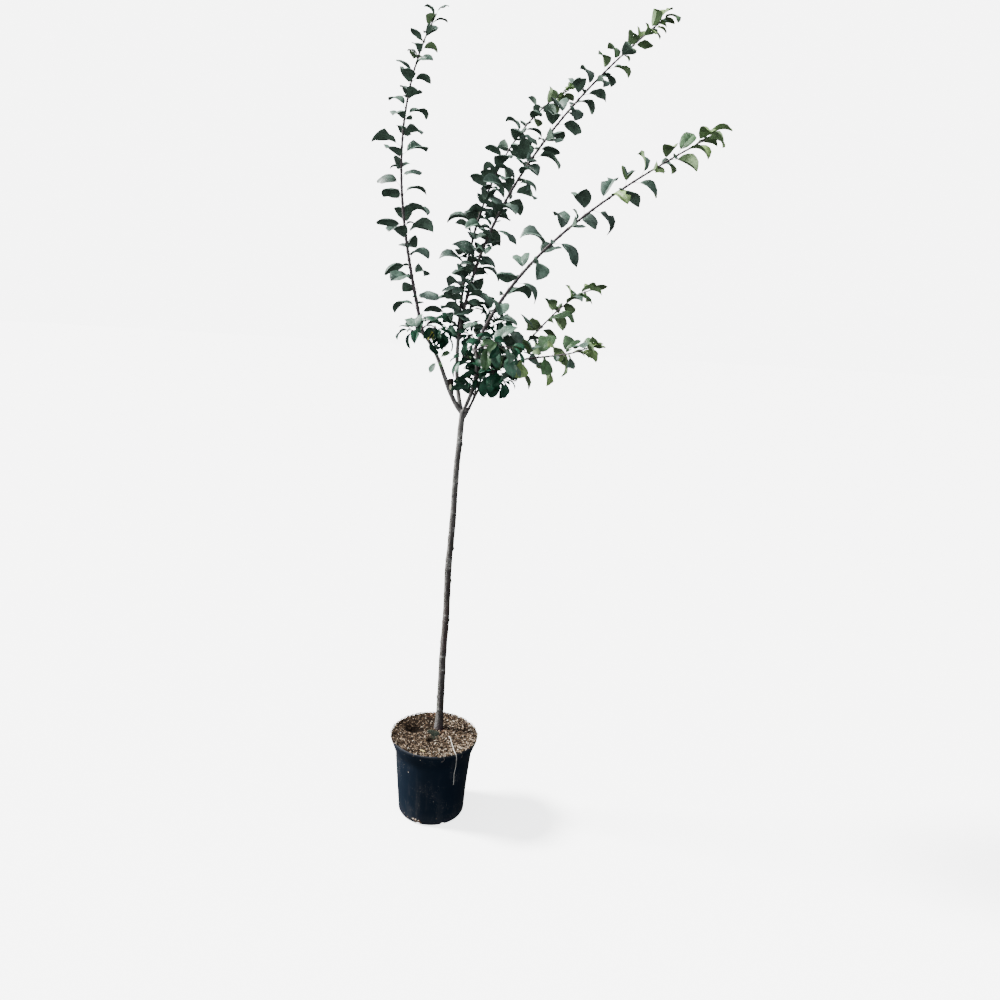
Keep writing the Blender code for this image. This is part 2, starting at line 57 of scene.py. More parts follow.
# --- Nursery pot -------------------------------------------------------------------------------
# A thin black pot, blow-moulded in soft plastic: a tapered wall on a rounded heel, a flared collar
# and a rolled lip. Drain slots are cut through the heel, and dust and splashes cling to the wall.

POT_SIDES = 96
POT_HEIGHT = 0.257
POT_WALL = 0.0022
POT_FLOOR_RADIUS = 0.0925
HEEL_RADIUS, HEEL_HEIGHT, HEEL_CORNER = 0.1035, 0.018, 0.0110
COLLAR_FOOT_RADIUS, COLLAR_FOOT_HEIGHT = 0.1180, 0.206
COLLAR_TOP_RADIUS, COLLAR_TOP_HEIGHT = 0.1305, 0.240
LIP_RADIUS, LIP_DEPTH, LIP_WIDTH = 0.1350, 0.009, 0.0040
DRAIN_SLOTS = 8
DRAIN_SIZE, DRAIN_CORNER = (0.020, 0.014, 0.018), 0.003
POT_WANDER = 0.0024


def add_alone(operator, **settings):
    """Adds a primitive with nothing else selected, and returns its object."""
    if bpy.context.mode != "OBJECT":
        bpy.ops.object.mode_set(mode="OBJECT")
    bpy.ops.object.select_all(action="DESELECT")
    operator(**settings)
    return bpy.context.object


def select_only(piece):
    """Leaves one object selected and active."""
    bpy.ops.object.select_all(action="DESELECT")
    piece.select_set(True)
    bpy.context.view_layer.objects.active = piece


def smooth(piece, angle):
    """Shades a piece smooth but for edges sharper than an angle in degrees."""
    select_only(piece)
    bpy.ops.object.shade_smooth_by_angle(angle=math.radians(angle))


def rise_through(rings):
    """Extrudes the selected cap of an open edit through (radius, height) rings, each about +Z."""
    radius, height = rings[0]
    for next_radius, next_height in rings[1:]:
        bpy.ops.mesh.extrude_region_move(
            TRANSFORM_OT_translate={"value": (0.0, 0.0, next_height - height)}
        )
        share = next_radius / radius
        bpy.ops.transform.resize(value=(share, share, 1.0), center_override=(0.0, 0.0, next_height))
        radius, height = next_radius, next_height


def arc(centre, radius, start, end, steps):
    """Points (radius, height) round an arc, from one angle to another in degrees."""
    points = []
    for step in range(steps + 1):
        turn = math.radians(start + (end - start) * step / steps)
        points.append((centre[0] + radius * math.cos(turn), centre[1] + radius * math.sin(turn)))
    return points


def between(low, high, steps):
    """Points from low to high in equal steps, without the first."""
    return [
        (low[0] + (high[0] - low[0]) * s / steps, low[1] + (high[1] - low[1]) * s / steps)
        for s in range(1, steps + 1)
    ]


class Wire:
    """An output of a material's nodes. Sums on wires add the Math nodes that work them out."""

    def __init__(self, finish, socket):
        self.finish, self.socket = finish, socket

    def sum(self, operation, *values):
        return self.finish.node("ShaderNodeMath", {"operation": operation}, dict(enumerate(values)))

    def __add__(self, other):
        return self.sum("ADD", self, other)

    def __sub__(self, other):
        return self.sum("SUBTRACT", self, other)

    def __rsub__(self, other):
        return self.sum("SUBTRACT", other, self)

    def __mul__(self, other):
        return self.sum("MULTIPLY", self, other)

    def __truediv__(self, other):
        return self.sum("DIVIDE", self, other)

    def __abs__(self):
        return self.sum("ABSOLUTE", self)

    __radd__, __rmul__ = __add__, __mul__

    def fraction(self):
        return self.sum("FRACT", self)

    def least(self, other):
        return self.sum("MINIMUM", self, other)

    def most(self, other):
        return self.sum("MAXIMUM", self, other)

    def step(self, low, high):
        """0 under low and 1 over high, with a smooth rise between."""
        settings = {"interpolation_type": "SMOOTHSTEP"}
        return self.finish.node("ShaderNodeMapRange", settings, {0: self, 1: low, 2: high})


class Finish:
    """A material on one Principled shader."""

    def __init__(self, name, roughness=0.5):
        self.material = bpy.data.materials.new(name)
        self.material.use_nodes = True
        self.tree = self.material.node_tree
        self.shader = self.tree.nodes["Principled BSDF"]
        self.shader.inputs["Roughness"].default_value = roughness

    def node(self, kind, settings=None, sockets=None, output=0):
        """Adds a node, with its settings first, then the values or wires of its sockets."""
        made = self.tree.nodes.new(kind)
        for name, value in (settings or {}).items():
            if name == "stops":
                ramp = made.color_ramp.elements
                while len(ramp) < len(value):
                    ramp.new(0.5)
                for element, (place, colour) in zip(ramp, value):
                    element.position, element.color = place, (*colour, 1.0)
            else:
                setattr(made, name, value)
        for name, value in (sockets or {}).items():
            if isinstance(value, Wire):
                self.tree.links.new(value.socket, made.inputs[name])
            else:
                made.inputs[name].default_value = value
        return Wire(self, made.outputs[output])

    def place(self, stretch=(1.0, 1.0, 1.0)):
        """Object coordinates, stretched along each axis."""
        spot = self.node("ShaderNodeTexCoord", output="Object")
        return self.node("ShaderNodeMapping", {}, {"Vector": spot, "Scale": stretch})

    def grain(self, scale, detail=3.0, stretch=(1.0, 1.0, 1.0)):
        """Fractal noise over the piece, as a value about 0.5."""
        sockets = {"Vector": self.place(stretch), "Scale": scale, "Detail": detail}
        return self.node("ShaderNodeTexNoise", {}, {**sockets, "Roughness": 0.55})

    def parts(self, vector):
        """The three numbers of a vector wire."""
        split = self.tree.nodes.new("ShaderNodeSeparateXYZ")
        self.tree.links.new(vector.socket, split.inputs[0])
        return [Wire(self, out) for out in split.outputs]

    def blend(self, share, below, above):
        """A colour from below to above, by share."""
        ends = [value if isinstance(value, Wire) else (*value, 1.0) for value in (below, above)]
        sockets = {0: share, 6: ends[0], 7: ends[1]}
        return self.node("ShaderNodeMix", {"data_type": "RGBA"}, sockets, 2)

    def wear(self, **wires):
        """Feeds the shader's own sockets, named with _ for a space."""
        for name, wire in wires.items():
            self.tree.links.new(wire.socket, self.shader.inputs[name.replace("_", " ")])
        return self

    def relief(self, height, depth):
        """Feeds a height, 0 to 1, to the normal, as a relief so many metres deep."""
        sockets = {"Strength": 1.0, "Distance": depth, "Height": height}
        return self.wear(Normal=self.node("ShaderNodeBump", {}, sockets))


def pot_plastic():
    """Matt blue-black plastic, dusty in streaks and at the heel, splashed, with painted sheen on
    the lip.
    """
    finish = Finish("pot_plastic", 0.5)
    finish.shader.inputs["Specular IOR Level"].default_value = 0.10
    soft = finish.grain(14.0, 4.0)
    streaks = finish.grain(9.0, 5.0, (9.0, 9.0, 0.7))
    specks = finish.grain(620.0, 1.0)
    height = finish.parts(finish.node("ShaderNodeTexCoord", output="Object"))[2]
    low_dust = 1.0 - (height + 0.03 * soft).step(0.012, 0.070)
    # Painted sheen: a pale band along the lip stands for its sheen, and is mixed in with the dust.
    lip_sheen = (height + 0.004 * soft).step(0.2505, 0.2545)
    dust_and_lip_sheen = ((streaks * soft).step(0.22, 0.46) * 0.44 + low_dust * 0.26 + lip_sheen * 0.34).least(1.0)
    splash = specks.step(0.725, 0.75) * soft.step(0.47, 0.56)
    colour = finish.blend(soft, (0.0014, 0.0042, 0.0100), (0.0034, 0.0082, 0.0165))
    colour = finish.blend(dust_and_lip_sheen, colour, (0.034, 0.035, 0.039))
    colour = finish.blend(splash, colour, (0.34, 0.32, 0.28))
    rough = 0.42 + 0.12 * soft + 0.45 * dust_and_lip_sheen
    fine = finish.grain(900.0, 2.0)
    finish.wear(Base_Color=colour, Roughness=rough.least(0.95))
    finish.relief(soft * 0.5 + fine * 0.12 + streaks * 0.2, 0.0012)
    return finish.material


def wander_wall(piece):
    """The thin wall isn't quite round: its radius wanders a little with height and round it."""
    for vert in piece.data.vertices:
        x, y, z = vert.co
        radius = math.hypot(x, y)
        if radius < 0.5 * POT_FLOOR_RADIUS:
            continue
        wander = noise.noise(Vector((x * 9.0, y * 9.0, z * 6.0))) * POT_WANDER * min(1.0, z / 0.03)
        vert.co.x += x / radius * wander
        vert.co.y += y / radius * wander


heel_corner = arc((POT_FLOOR_RADIUS, HEEL_CORNER), HEEL_CORNER, -90.0, 0.0, 6)
wall_rings = [(POT_FLOOR_RADIUS * 0.93, 0.0), *heel_corner]
wall_rings += between(wall_rings[-1], (COLLAR_FOOT_RADIUS, COLLAR_FOOT_HEIGHT), 14)
wall_rings += between(wall_rings[-1], (COLLAR_TOP_RADIUS, COLLAR_TOP_HEIGHT), 5)
wall_rings += [(COLLAR_TOP_RADIUS + 0.0006, POT_HEIGHT - LIP_DEPTH - 0.0010)]
wall_rings += [(LIP_RADIUS - 0.0012, POT_HEIGHT - LIP_DEPTH)]
wall_rings += arc((LIP_RADIUS - 0.0020, POT_HEIGHT - 0.0022), 0.0021, -30.0, 180.0, 7)
wall_rings += [(LIP_RADIUS - LIP_WIDTH - 0.0004, POT_HEIGHT - LIP_DEPTH)]
wall_rings += between(wall_rings[-1], (COLLAR_TOP_RADIUS - POT_WALL, COLLAR_TOP_HEIGHT), 1)
wall_rings += between(wall_rings[-1], (COLLAR_FOOT_RADIUS - POT_WALL, COLLAR_FOOT_HEIGHT), 2)
wall_rings += between(wall_rings[-1], (HEEL_RADIUS - POT_WALL, HEEL_HEIGHT), 4)
wall_rings += [(POT_FLOOR_RADIUS - POT_WALL, POT_WALL)]

nursery_pot = add_alone(
    bpy.ops.mesh.primitive_circle_add,
    vertices=POT_SIDES,
    radius=wall_rings[0][0],
    fill_type="NGON",
    location=(0.0, 0.0, 0.0),
)
nursery_pot.name = "nursery_pot"
bpy.ops.object.mode_set(mode="EDIT")
bpy.ops.mesh.select_all(action="SELECT")
rise_through(wall_rings)
bpy.ops.mesh.select_all(action="SELECT")
bpy.ops.mesh.normals_make_consistent(inside=False)
bpy.ops.object.mode_set(mode="OBJECT")
wander_wall(nursery_pot)

drain_cutters = []
for slot in range(DRAIN_SLOTS):
    turn = math.tau * (slot + 0.5) / DRAIN_SLOTS
    reach = HEEL_RADIUS - 0.002
    cutter = add_alone(
        bpy.ops.mesh.primitive_cube_add,
        size=1.0,
        location=(reach * math.cos(turn), reach * math.sin(turn), 0.0),
        rotation=(0.0, 0.0, turn),
        scale=DRAIN_SIZE,
    )
    bpy.ops.object.transform_apply(location=True, rotation=True, scale=True)
    bpy.ops.object.mode_set(mode="EDIT")
    bpy.ops.mesh.select_all(action="SELECT")
    bpy.ops.mesh.bevel(offset=DRAIN_CORNER, segments=3, affect="EDGES")
    bpy.ops.object.mode_set(mode="OBJECT")
    drain_cutters.append(cutter)
select_only(drain_cutters[0])
for cutter in drain_cutters[1:]:
    cutter.select_set(True)
bpy.ops.object.join()
drain_cutter = bpy.context.object
slots_cut = nursery_pot.modifiers.new("drain_slots", "BOOLEAN")
slots_cut.operation = "DIFFERENCE"
slots_cut.object = drain_cutter
select_only(nursery_pot)
bpy.ops.object.modifier_apply(modifier=slots_cut.name)
bpy.data.objects.remove(drain_cutter)
smooth(nursery_pot, 40.0)
nursery_pot.data.materials.append(pot_plastic())
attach(nursery_pot, "root")
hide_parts("pot")

# --- Compost -----------------------------------------------------------------------------------
# Bark-based potting compost that fills the pot and is heaped a little over its lip. Its top is
# crumbly, with a hollow at the back left where it has washed out. It is painted nearly black as
# shade in the hollow and the hole by the moss, and as shadow at the back left and by the trunk.

BED_SIDES = 168
BED_RINGS = 46
BED_RADIUS = LIP_RADIUS - LIP_WIDTH - 0.0008
BED_EDGE_DROP = 0.004
BED_HEAP = 0.007
# Where the trunk stands, how high the compost is there, and how far round it lies level.
TRUNK_FOOT, GROUND, LEVEL_REACH = (0.013, 0.032), 0.2605, 0.030
HOLLOW, HOLLOW_RADIUS, HOLLOW_DEPTH = (-0.062, 0.040), 0.030, 0.024
MOSS_HOLE, MOSS_HOLE_RADIUS, MOSS_HOLE_DEPTH = (-0.0115, -0.0400), 0.0085, 0.0090
# A low ridge beside the hollow: its foot, its heading, length, reach, width and height.
RIDGE_FOOT, RIDGE_HEADING, RIDGE_LENGTH = (-0.064, 0.018), (0.92, 0.39), 0.040
RIDGE_REACH, RIDGE_WIDTH, RIDGE_HEIGHT = (0.037, 0.016), 0.007, 0.0050
# The compost is banked against the lip, but for a stretch where the lip is bare.
BARE_LIP, BARE_WIDTH, BANK_HEIGHT = 242.0, 38.0, 0.0065
CRUMB_COLOURS = (
    (0.34, (0.004, 0.0025, 0.0015)),
    (0.52, (0.015, 0.010, 0.0062)),
    (0.72, (0.065, 0.045, 0.029)),
)
# Places painted dark as shade and shadow: a centre, a reach and how dark.
SHADED_PLACES = (
    (HOLLOW, 0.030, 1.0),
    (MOSS_HOLE, 0.012, 1.0),
    ((-0.030, 0.075), 0.045, 0.45),
    ((-0.095, 0.010), 0.030, 0.30),
    ((-0.034, 0.022), 0.014, 0.7),
    ((0.040, 0.046), 0.016, 0.6),
    ((0.075, 0.020), 0.012, 0.5),
)


def away(x, y, place):
    """The level distance of a spot from a place."""
    return math.hypot(x - place[0], y - place[1])


def dome(distance, reach):
    """1 at no distance, falling smoothly past the reach to 0."""
    return math.exp(-((distance / reach) ** 2))


def bed_height(x, y):
    """The heaped top of the compost over a spot, level round the trunk's foot."""
    out = min(math.hypot(x, y) / BED_RADIUS, 1.0)
    height = POT_HEIGHT - BED_EDGE_DROP + BED_HEAP * (1.0 - out**3)
    height -= HOLLOW_DEPTH * dome(away(x, y, HOLLOW), HOLLOW_RADIUS)
    turn = math.degrees(math.atan2(y, x)) % 360.0
    height += BANK_HEIGHT * (1.0 - dome(turn - BARE_LIP, BARE_WIDTH)) * out**6
    ahead, aside = x - RIDGE_FOOT[0], y - RIDGE_FOOT[1]
    share = (ahead * RIDGE_HEADING[0] + aside * RIDGE_HEADING[1]) / RIDGE_LENGTH
    share = max(0.0, min(1.0, share))
    from_ridge = math.hypot(ahead - RIDGE_REACH[0] * share, aside - RIDGE_REACH[1] * share)
    height += RIDGE_HEIGHT * dome(from_ridge, RIDGE_WIDTH)
    height -= MOSS_HOLE_DEPTH * dome(away(x, y, MOSS_HOLE), MOSS_HOLE_RADIUS)
    crumbs = 0.0026 * noise.noise(Vector((x, y, 0.0)) * 70.0)
    crumbs += 0.0018 * noise.noise(Vector((x, y, 7.0)) * 210.0)
    level = min(max(1.6 - away(x, y, TRUNK_FOOT) / LEVEL_REACH, 0.0), 1.0)
    return height + (GROUND - 0.001 - height) * level + crumbs


def bed_shade(x, y):
    """How dark the compost is painted as shade: most in the hollow and in the hole by the moss."""
    return max(shade_depth * dome(away(x, y, place), reach) for place, reach, shade_depth in SHADED_PLACES)


def compost_finish():
    """Crumbly brown compost, painted nearly black where shade and shadow fall."""
    finish = Finish("compost_bark", 0.95)
    finish.shader.inputs["Specular IOR Level"].default_value = 0.05
    coarse = finish.grain(150.0, 6.0)
    fine = finish.grain(520.0, 3.0)
    patches = finish.grain(22.0, 2.0)
    colour = finish.node(
        "ShaderNodeValToRGB",
        {"stops": CRUMB_COLOURS},
        {0: coarse * 0.7 + fine * 0.3},
    )
    colour = finish.blend(patches.step(0.52, 0.70) * 0.5, colour, (0.018, 0.011, 0.007))
    # Painted shade: the compost is painted nearly black where the attribute marks shade and shadow.
    damp = finish.node("ShaderNodeAttribute", {"attribute_name": "damp"}, output="Fac")
    colour = finish.blend(damp.step(0.15, 0.70) * 0.9, colour, (0.0032, 0.0022, 0.0014))
    finish.wear(Base_Color=colour)
    finish.relief(coarse + fine * 0.5, 0.004)
    return finish.material


bed_rings = [
    (POT_FLOOR_RADIUS - POT_WALL - 0.001, POT_WALL + 0.0004),
    (HEEL_RADIUS - POT_WALL - 0.001, HEEL_HEIGHT + 0.001),
    (COLLAR_FOOT_RADIUS - POT_WALL - 0.001, COLLAR_FOOT_HEIGHT),
    (COLLAR_TOP_RADIUS - POT_WALL - 0.001, COLLAR_TOP_HEIGHT),
    (BED_RADIUS, POT_HEIGHT - BED_EDGE_DROP),
]
for ring in range(1, BED_RINGS):
    bed_rings.append((BED_RADIUS * (1.0 - ring / BED_RINGS), POT_HEIGHT + 0.0001 * ring))
compost_bed = add_alone(
    bpy.ops.mesh.primitive_circle_add,
    vertices=BED_SIDES,
    radius=bed_rings[0][0],
    fill_type="NGON",
    location=(0.0, 0.0, bed_rings[0][1]),
)
compost_bed.name = "compost_bed"
bpy.ops.object.transform_apply(location=True, rotation=True, scale=True)
bpy.ops.object.mode_set(mode="EDIT")
bpy.ops.mesh.select_all(action="SELECT")
rise_through(bed_rings)
bpy.ops.mesh.poke()
bpy.ops.mesh.select_all(action="SELECT")
bpy.ops.mesh.normals_make_consistent(inside=False)
bpy.ops.object.mode_set(mode="OBJECT")
for vert in compost_bed.data.vertices:
    if vert.co.z > POT_HEIGHT - BED_EDGE_DROP - 0.0005:
        vert.co.z = bed_height(vert.co.x, vert.co.y)
# Each spot keeps how dark it is painted as shade.
painted_shade_map = compost_bed.data.attributes.new("damp", "FLOAT", "POINT")
painted_shades = [bed_shade(vert.co.x, vert.co.y) for vert in compost_bed.data.vertices]
painted_shade_map.data.foreach_set("value", painted_shades)
smooth(compost_bed, 60.0)
compost_bed.data.materials.append(compost_finish())
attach(compost_bed, "root")
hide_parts("compost")

# --- Bark chips --------------------------------------------------------------------------------
# Shards of chipped bark and wood lie loose all over the compost, and have spilled onto the lip at
# the sides and the back. A few stick to the wall and the heel, where the pot stood in wet bark.

BED_CHIPS, LIP_CHIPS = 8200, 1700
CHIP_SIZES, LARGE_CHIP_SIZES, LARGE_SHARE = (0.0022, 0.0050), (0.0050, 0.0100), 0.10
LARGEST_ON_LIP = 0.0062
ROOM_FOR_TRUNK = 0.0145
# Each tint: a name, a colour, and how many of it are dealt to open places, to places painted dark
# as shade and to rusty places.
CHIP_TINTS = (
    ("dark", (0.0080, 0.0052, 0.0032), (9, 14, 4)),
    ("brown", (0.0420, 0.0280, 0.0180), (7, 4, 4)),
    ("tan", (0.1850, 0.1300, 0.0860), (7, 1, 3)),
    ("straw", (0.3900, 0.3000, 0.2150), (5, 0, 2)),
    ("pale", (0.7200, 0.6200, 0.5000), (2, 0, 0)),
    ("rust", (0.1700, 0.0800, 0.0500), (0, 0, 4)),
)
RUSTY_PLACES = (((-0.008, 0.118), 0.020), ((0.030, 0.022), 0.014), ((0.020, 0.010), 0.010))
# Chips that have stuck to the wall and the heel: a place, a size and a tint.
STUCK_CHIPS = (
    (-0.0379, -0.1271, 0.2419, 0.0026, "pale"),
    (-0.0732, -0.0924, 0.1790, 0.0028, "pale"),
    (-0.1160, -0.0267, 0.1936, 0.0026, "straw"),
    (-0.0540, -0.0900, 0.0180, 0.0055, "pale"),
    (-0.0490, -0.0930, 0.0165, 0.0050, "rust"),
    (-0.0450, -0.0950, 0.0185, 0.0060, "pale"),
    (-0.0410, -0.0970, 0.0150, 0.0050, "tan"),
    (-0.0370, -0.0990, 0.0180, 0.0055, "pale"),
    (-0.0330, -0.1000, 0.0160, 0.0050, "rust"),
    (-0.0430, -0.0960, 0.0120, 0.0045, "straw"),
    (-0.0290, -0.1010, 0.0120, 0.0040, "tan"),
    (-0.0590, -0.0870, 0.0130, 0.0045, "brown"),
    (-0.0700, -0.0785, 0.0150, 0.0035, "straw"),
    (-0.0820, -0.0640, 0.0190, 0.0030, "pale"),
    (0.0180, -0.1060, 0.0300, 0.0022, "straw"),
)
SHARD_FACES = [(0, 2, 3, 1), (4, 5, 7, 6), (0, 1, 5, 4), (1, 3, 7, 5), (3, 2, 6, 7), (2, 0, 4, 6)]
UP = Vector((0.0, 0.0, 1.0))


def build_mesh(name, verts, faces, tints=None, materials=()):
    """A mesh object from points and faces, with a material index for each face."""
    data = bpy.data.meshes.new(name)
    data.from_pydata(verts, [], faces)
    for material in materials:
        data.materials.append(material)
    if tints:
        data.polygons.foreach_set("material_index", tints)
    data.update()
    made = bpy.data.objects.new(name, data)
    bpy.context.scene.collection.objects.link(made)
    return made


def shard(rng, size):
    """The eight corners of a split flake, longer than wide and thin, each broken its own way."""
    length, width = size, size * rng.uniform(0.25, 0.6)
    thick = size * rng.uniform(0.12, 0.3)
    corners = []
    for k in (-0.5, 0.5):
        for j in (-0.5, 0.5):
            for i in (-0.5, 0.5):
                jag = Vector((rng.uniform(0.6, 1.1), rng.uniform(0.5, 1.15), rng.uniform(0.5, 1.2)))
                corners.append(Vector((i * length * jag.x, j * width * jag.y, k * thick * jag.z)))
    return corners


def lay_shard(rng, spot, tilt, size):
    """Adds a shard to the heap, at a spot and a tilt."""
    first = len(chip_verts)
    chip_verts.extend(spot + tilt @ corner for corner in shard(rng, size))
    chip_faces.extend(tuple(first + index for index in face) for face in SHARD_FACES)


def bed_tint(rng, x, y):
    """A tint for a chip on the bed: dark tints are dealt as painted shade in the hollow, by the
    moss and towards the back left.
    """
    in_hollow = bed_shade(x, y) > rng.uniform(0.25, 0.9)
    in_hole = away(x, y, MOSS_HOLE) < 0.012 * rng.uniform(0.7, 1.2)
    # Painted shadow: chips towards the back left, in the rim's shadow, are dealt dark tints.
    damp = in_hollow or in_hole or rng.random() < 0.55 * (1.0 - (x - y + 0.12) / 0.30)
    rusty = any(away(x, y, place) < reach * rng.uniform(0.5, 1.1) for place, reach in RUSTY_PLACES)
    return rng.choice(rusty_deck if rusty else shaded_deck if damp else unshaded_deck)


def chip_finish(name, colour):
    """Split bark or wood, darker along its fibres."""
    finish = Finish("chip_" + name, 0.9)
    finish.shader.inputs["Specular IOR Level"].default_value = 0.06
    fibre = finish.grain(480.0, 3.0)
    darker = tuple(0.45 * c for c in colour)
    finish.wear(Base_Color=finish.blend(fibre.step(0.30, 0.62), darker, colour))
    finish.relief(fibre, 0.0008)
    return finish.material


rng = random.Random(31)
chip_verts, chip_faces, chip_tints = [], [], []
unshaded_deck, shaded_deck, rusty_deck = (
    [index for index, (_, _, dealt) in enumerate(CHIP_TINTS) for _ in range(dealt[place])]
    for place in range(3)
)
for number in range(BED_CHIPS + LIP_CHIPS):
    on_lip = number >= BED_CHIPS
    turn = rng.uniform(0.0, math.tau)
    if on_lip:
        turn = math.radians(rng.uniform(BARE_LIP + 30.0, BARE_LIP + 330.0))
        out = rng.uniform(BED_RADIUS - 0.005, LIP_RADIUS + 0.0008)
    else:
        out = BED_RADIUS * math.sqrt(rng.random()) * 0.992
    x, y = out * math.cos(turn), out * math.sin(turn)
    lift = max(0.0, POT_HEIGHT + rng.uniform(0.0, 0.0035) - bed_height(x, y)) if on_lip else 0.0
    if away(x, y, TRUNK_FOOT) < ROOM_FOR_TRUNK:
        continue
    if rng.random() < 0.75 * bed_shade(x, y) or away(x, y, MOSS_HOLE) < MOSS_HOLE_RADIUS:
        continue
    size = rng.uniform(*(CHIP_SIZES if rng.random() < 1.0 - LARGE_SHARE else LARGE_CHIP_SIZES))
    tilt = Matrix.Rotation(rng.uniform(0.0, math.tau), 3, "Z")
    tilt = tilt @ Matrix.Rotation(rng.gauss(0.0, 0.45), 3, "X")
    tilt = tilt @ Matrix.Rotation(rng.gauss(0.0, 0.35), 3, "Y")
    spot = Vector((x, y, bed_height(x, y) + lift + rng.uniform(-0.0003, 0.0012)))
    lay_shard(rng, spot, tilt, min(size, LARGEST_ON_LIP) if on_lip else size)
    chip_tints += [bed_tint(rng, x, y)] * len(SHARD_FACES)
tint_names = [name for name, _, _ in CHIP_TINTS]
for x, y, height, size, tint in STUCK_CHIPS:
    out = Vector((x, y, 0.0)).normalized()
    tilt = Matrix.Rotation(math.atan2(out.y, out.x), 3, "Z")
    tilt = tilt @ Matrix.Rotation(math.radians(90.0), 3, "Y")
    tilt = tilt @ Matrix.Rotation(rng.uniform(0.0, math.tau), 3, "Z")
    lay_shard(rng, Vector((x, y, height)), tilt, size)
    chip_tints += [tint_names.index(tint)] * len(SHARD_FACES)
chip_finishes = [chip_finish(name, colour) for name, colour, _ in CHIP_TINTS]
bark_chips = build_mesh("bark_chips", chip_verts, chip_faces, chip_tints, chip_finishes)
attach(bark_chips, "root")

# --- Moss --------------------------------------------------------------------------------------
# A small tuft of moss has taken in the compost at the trunk's foot, beside a dark hole. It is a
# cushion of fine upright blades, each three-sided and pointed.

MOSS_BLADES = 760
MOSS_PLACES = ((0.002, -0.006, 0.0135), (-0.012, 0.006, 0.0100), (-0.001, -0.024, 0.0130))
MOSS_DEALT = (0, 0, 0, 1, 1, 2)
BLADE_HEIGHTS, BLADE_WIDTHS = (0.0030, 0.0090), (0.0004, 0.0009)
BLADE_SIDES = ((0, 1), (1, 2), (2, 0))


def fibre_finish(name, dark, light, scale=300.0):
    """Matt plant fibre, mottled between two tints."""
    finish = Finish(name, 0.75)
    mottle = finish.grain(scale, 2.0).step(0.35, 0.62)
    finish.wear(Base_Color=finish.blend(mottle, dark, light))
    return finish.material


rng = random.Random(47)
blades, blade_faces = [], []
for number in range(MOSS_BLADES):
    x, y, spread = MOSS_PLACES[rng.choice(MOSS_DEALT)]
    turn, out = rng.uniform(0.0, math.tau), spread * math.sqrt(rng.random())
    foot = Vector((x + out * math.cos(turn), y + out * math.sin(turn), 0.0))
    foot.z = bed_height(foot.x, foot.y) - 0.0005
    lean = Vector((rng.gauss(0.0, 0.5), rng.gauss(0.0, 0.5), 1.0)).normalized()
    tall, wide = rng.uniform(*BLADE_HEIGHTS), rng.uniform(*BLADE_WIDTHS)
    side = lean.orthogonal().normalized()
    side.rotate(Matrix.Rotation(rng.uniform(0.0, math.tau), 3, lean))
    depth = lean.cross(side)
    first = len(blades)
    for spot, width in ((foot, 0.6 * wide), (foot + lean * (0.5 * tall), wide)):
        behind, half = spot - side * (0.5 * width), depth * (0.5 * width)
        blades += [spot + side * width, behind + half, behind - half]
    blades.append(foot + lean * tall + side * (0.3 * tall))
    blade_faces.append((first + 2, first + 1, first))
    for a, b in BLADE_SIDES:
        blade_faces.append((first + a, first + b, first + b + 3, first + a + 3))
        blade_faces.append((first + a + 3, first + b + 3, first + 6))
moss_green = fibre_finish("moss", (0.004, 0.009, 0.005), (0.024, 0.038, 0.021), 150.0)
moss_tuft = build_mesh("moss_tuft", blades, blade_faces, None, [moss_green])
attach(moss_tuft, "root")

# --- Splinters ---------------------------------------------------------------------------------
# Two pale splinters of split wood lie loose on the compost in front of the moss. Each is a thin
# block, crumpled along its grain.

# Each splinter: its place, length, turn and tint.
SPLINTERS = (
    ((0.0040, -0.0528, 0.2650), 0.0090, 20.0, (0.70, 0.62, 0.50)),
    ((-0.0322, -0.1020, 0.2590), 0.0150, 160.0, (0.62, 0.48, 0.22)),
)

for number, (place, length, turn, tint) in enumerate(SPLINTERS):
    splinter = add_alone(
        bpy.ops.mesh.primitive_cube_add,
        size=1.0,
        location=place,
        rotation=(0.15, -0.12, math.radians(turn)),
        scale=(length, 0.22 * length, 0.10 * length),
    )
    splinter.name = f"splinter_{number + 1}"
    bpy.ops.object.transform_apply(location=True, rotation=True, scale=True)
    bpy.ops.object.mode_set(mode="EDIT")
    bpy.ops.mesh.select_all(action="SELECT")
    bpy.ops.mesh.subdivide(number_cuts=3, fractal=2.0, seed=number + 5)
    bpy.ops.object.mode_set(mode="OBJECT")
    smooth(splinter, 30.0)
    darker = tuple(0.6 * c for c in tint)
    splinter.data.materials.append(fibre_finish(f"splinter_wood_{number + 1}", darker, tint))
    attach(splinter, "root")

# --- Dry straw and hair roots ------------------------------------------------------------------
# A dry straw trails from the compost over the front of the lip and down the wall. Beside it a few
# hair roots have crept over the lip and shrivelled there. All are plain round fibres.

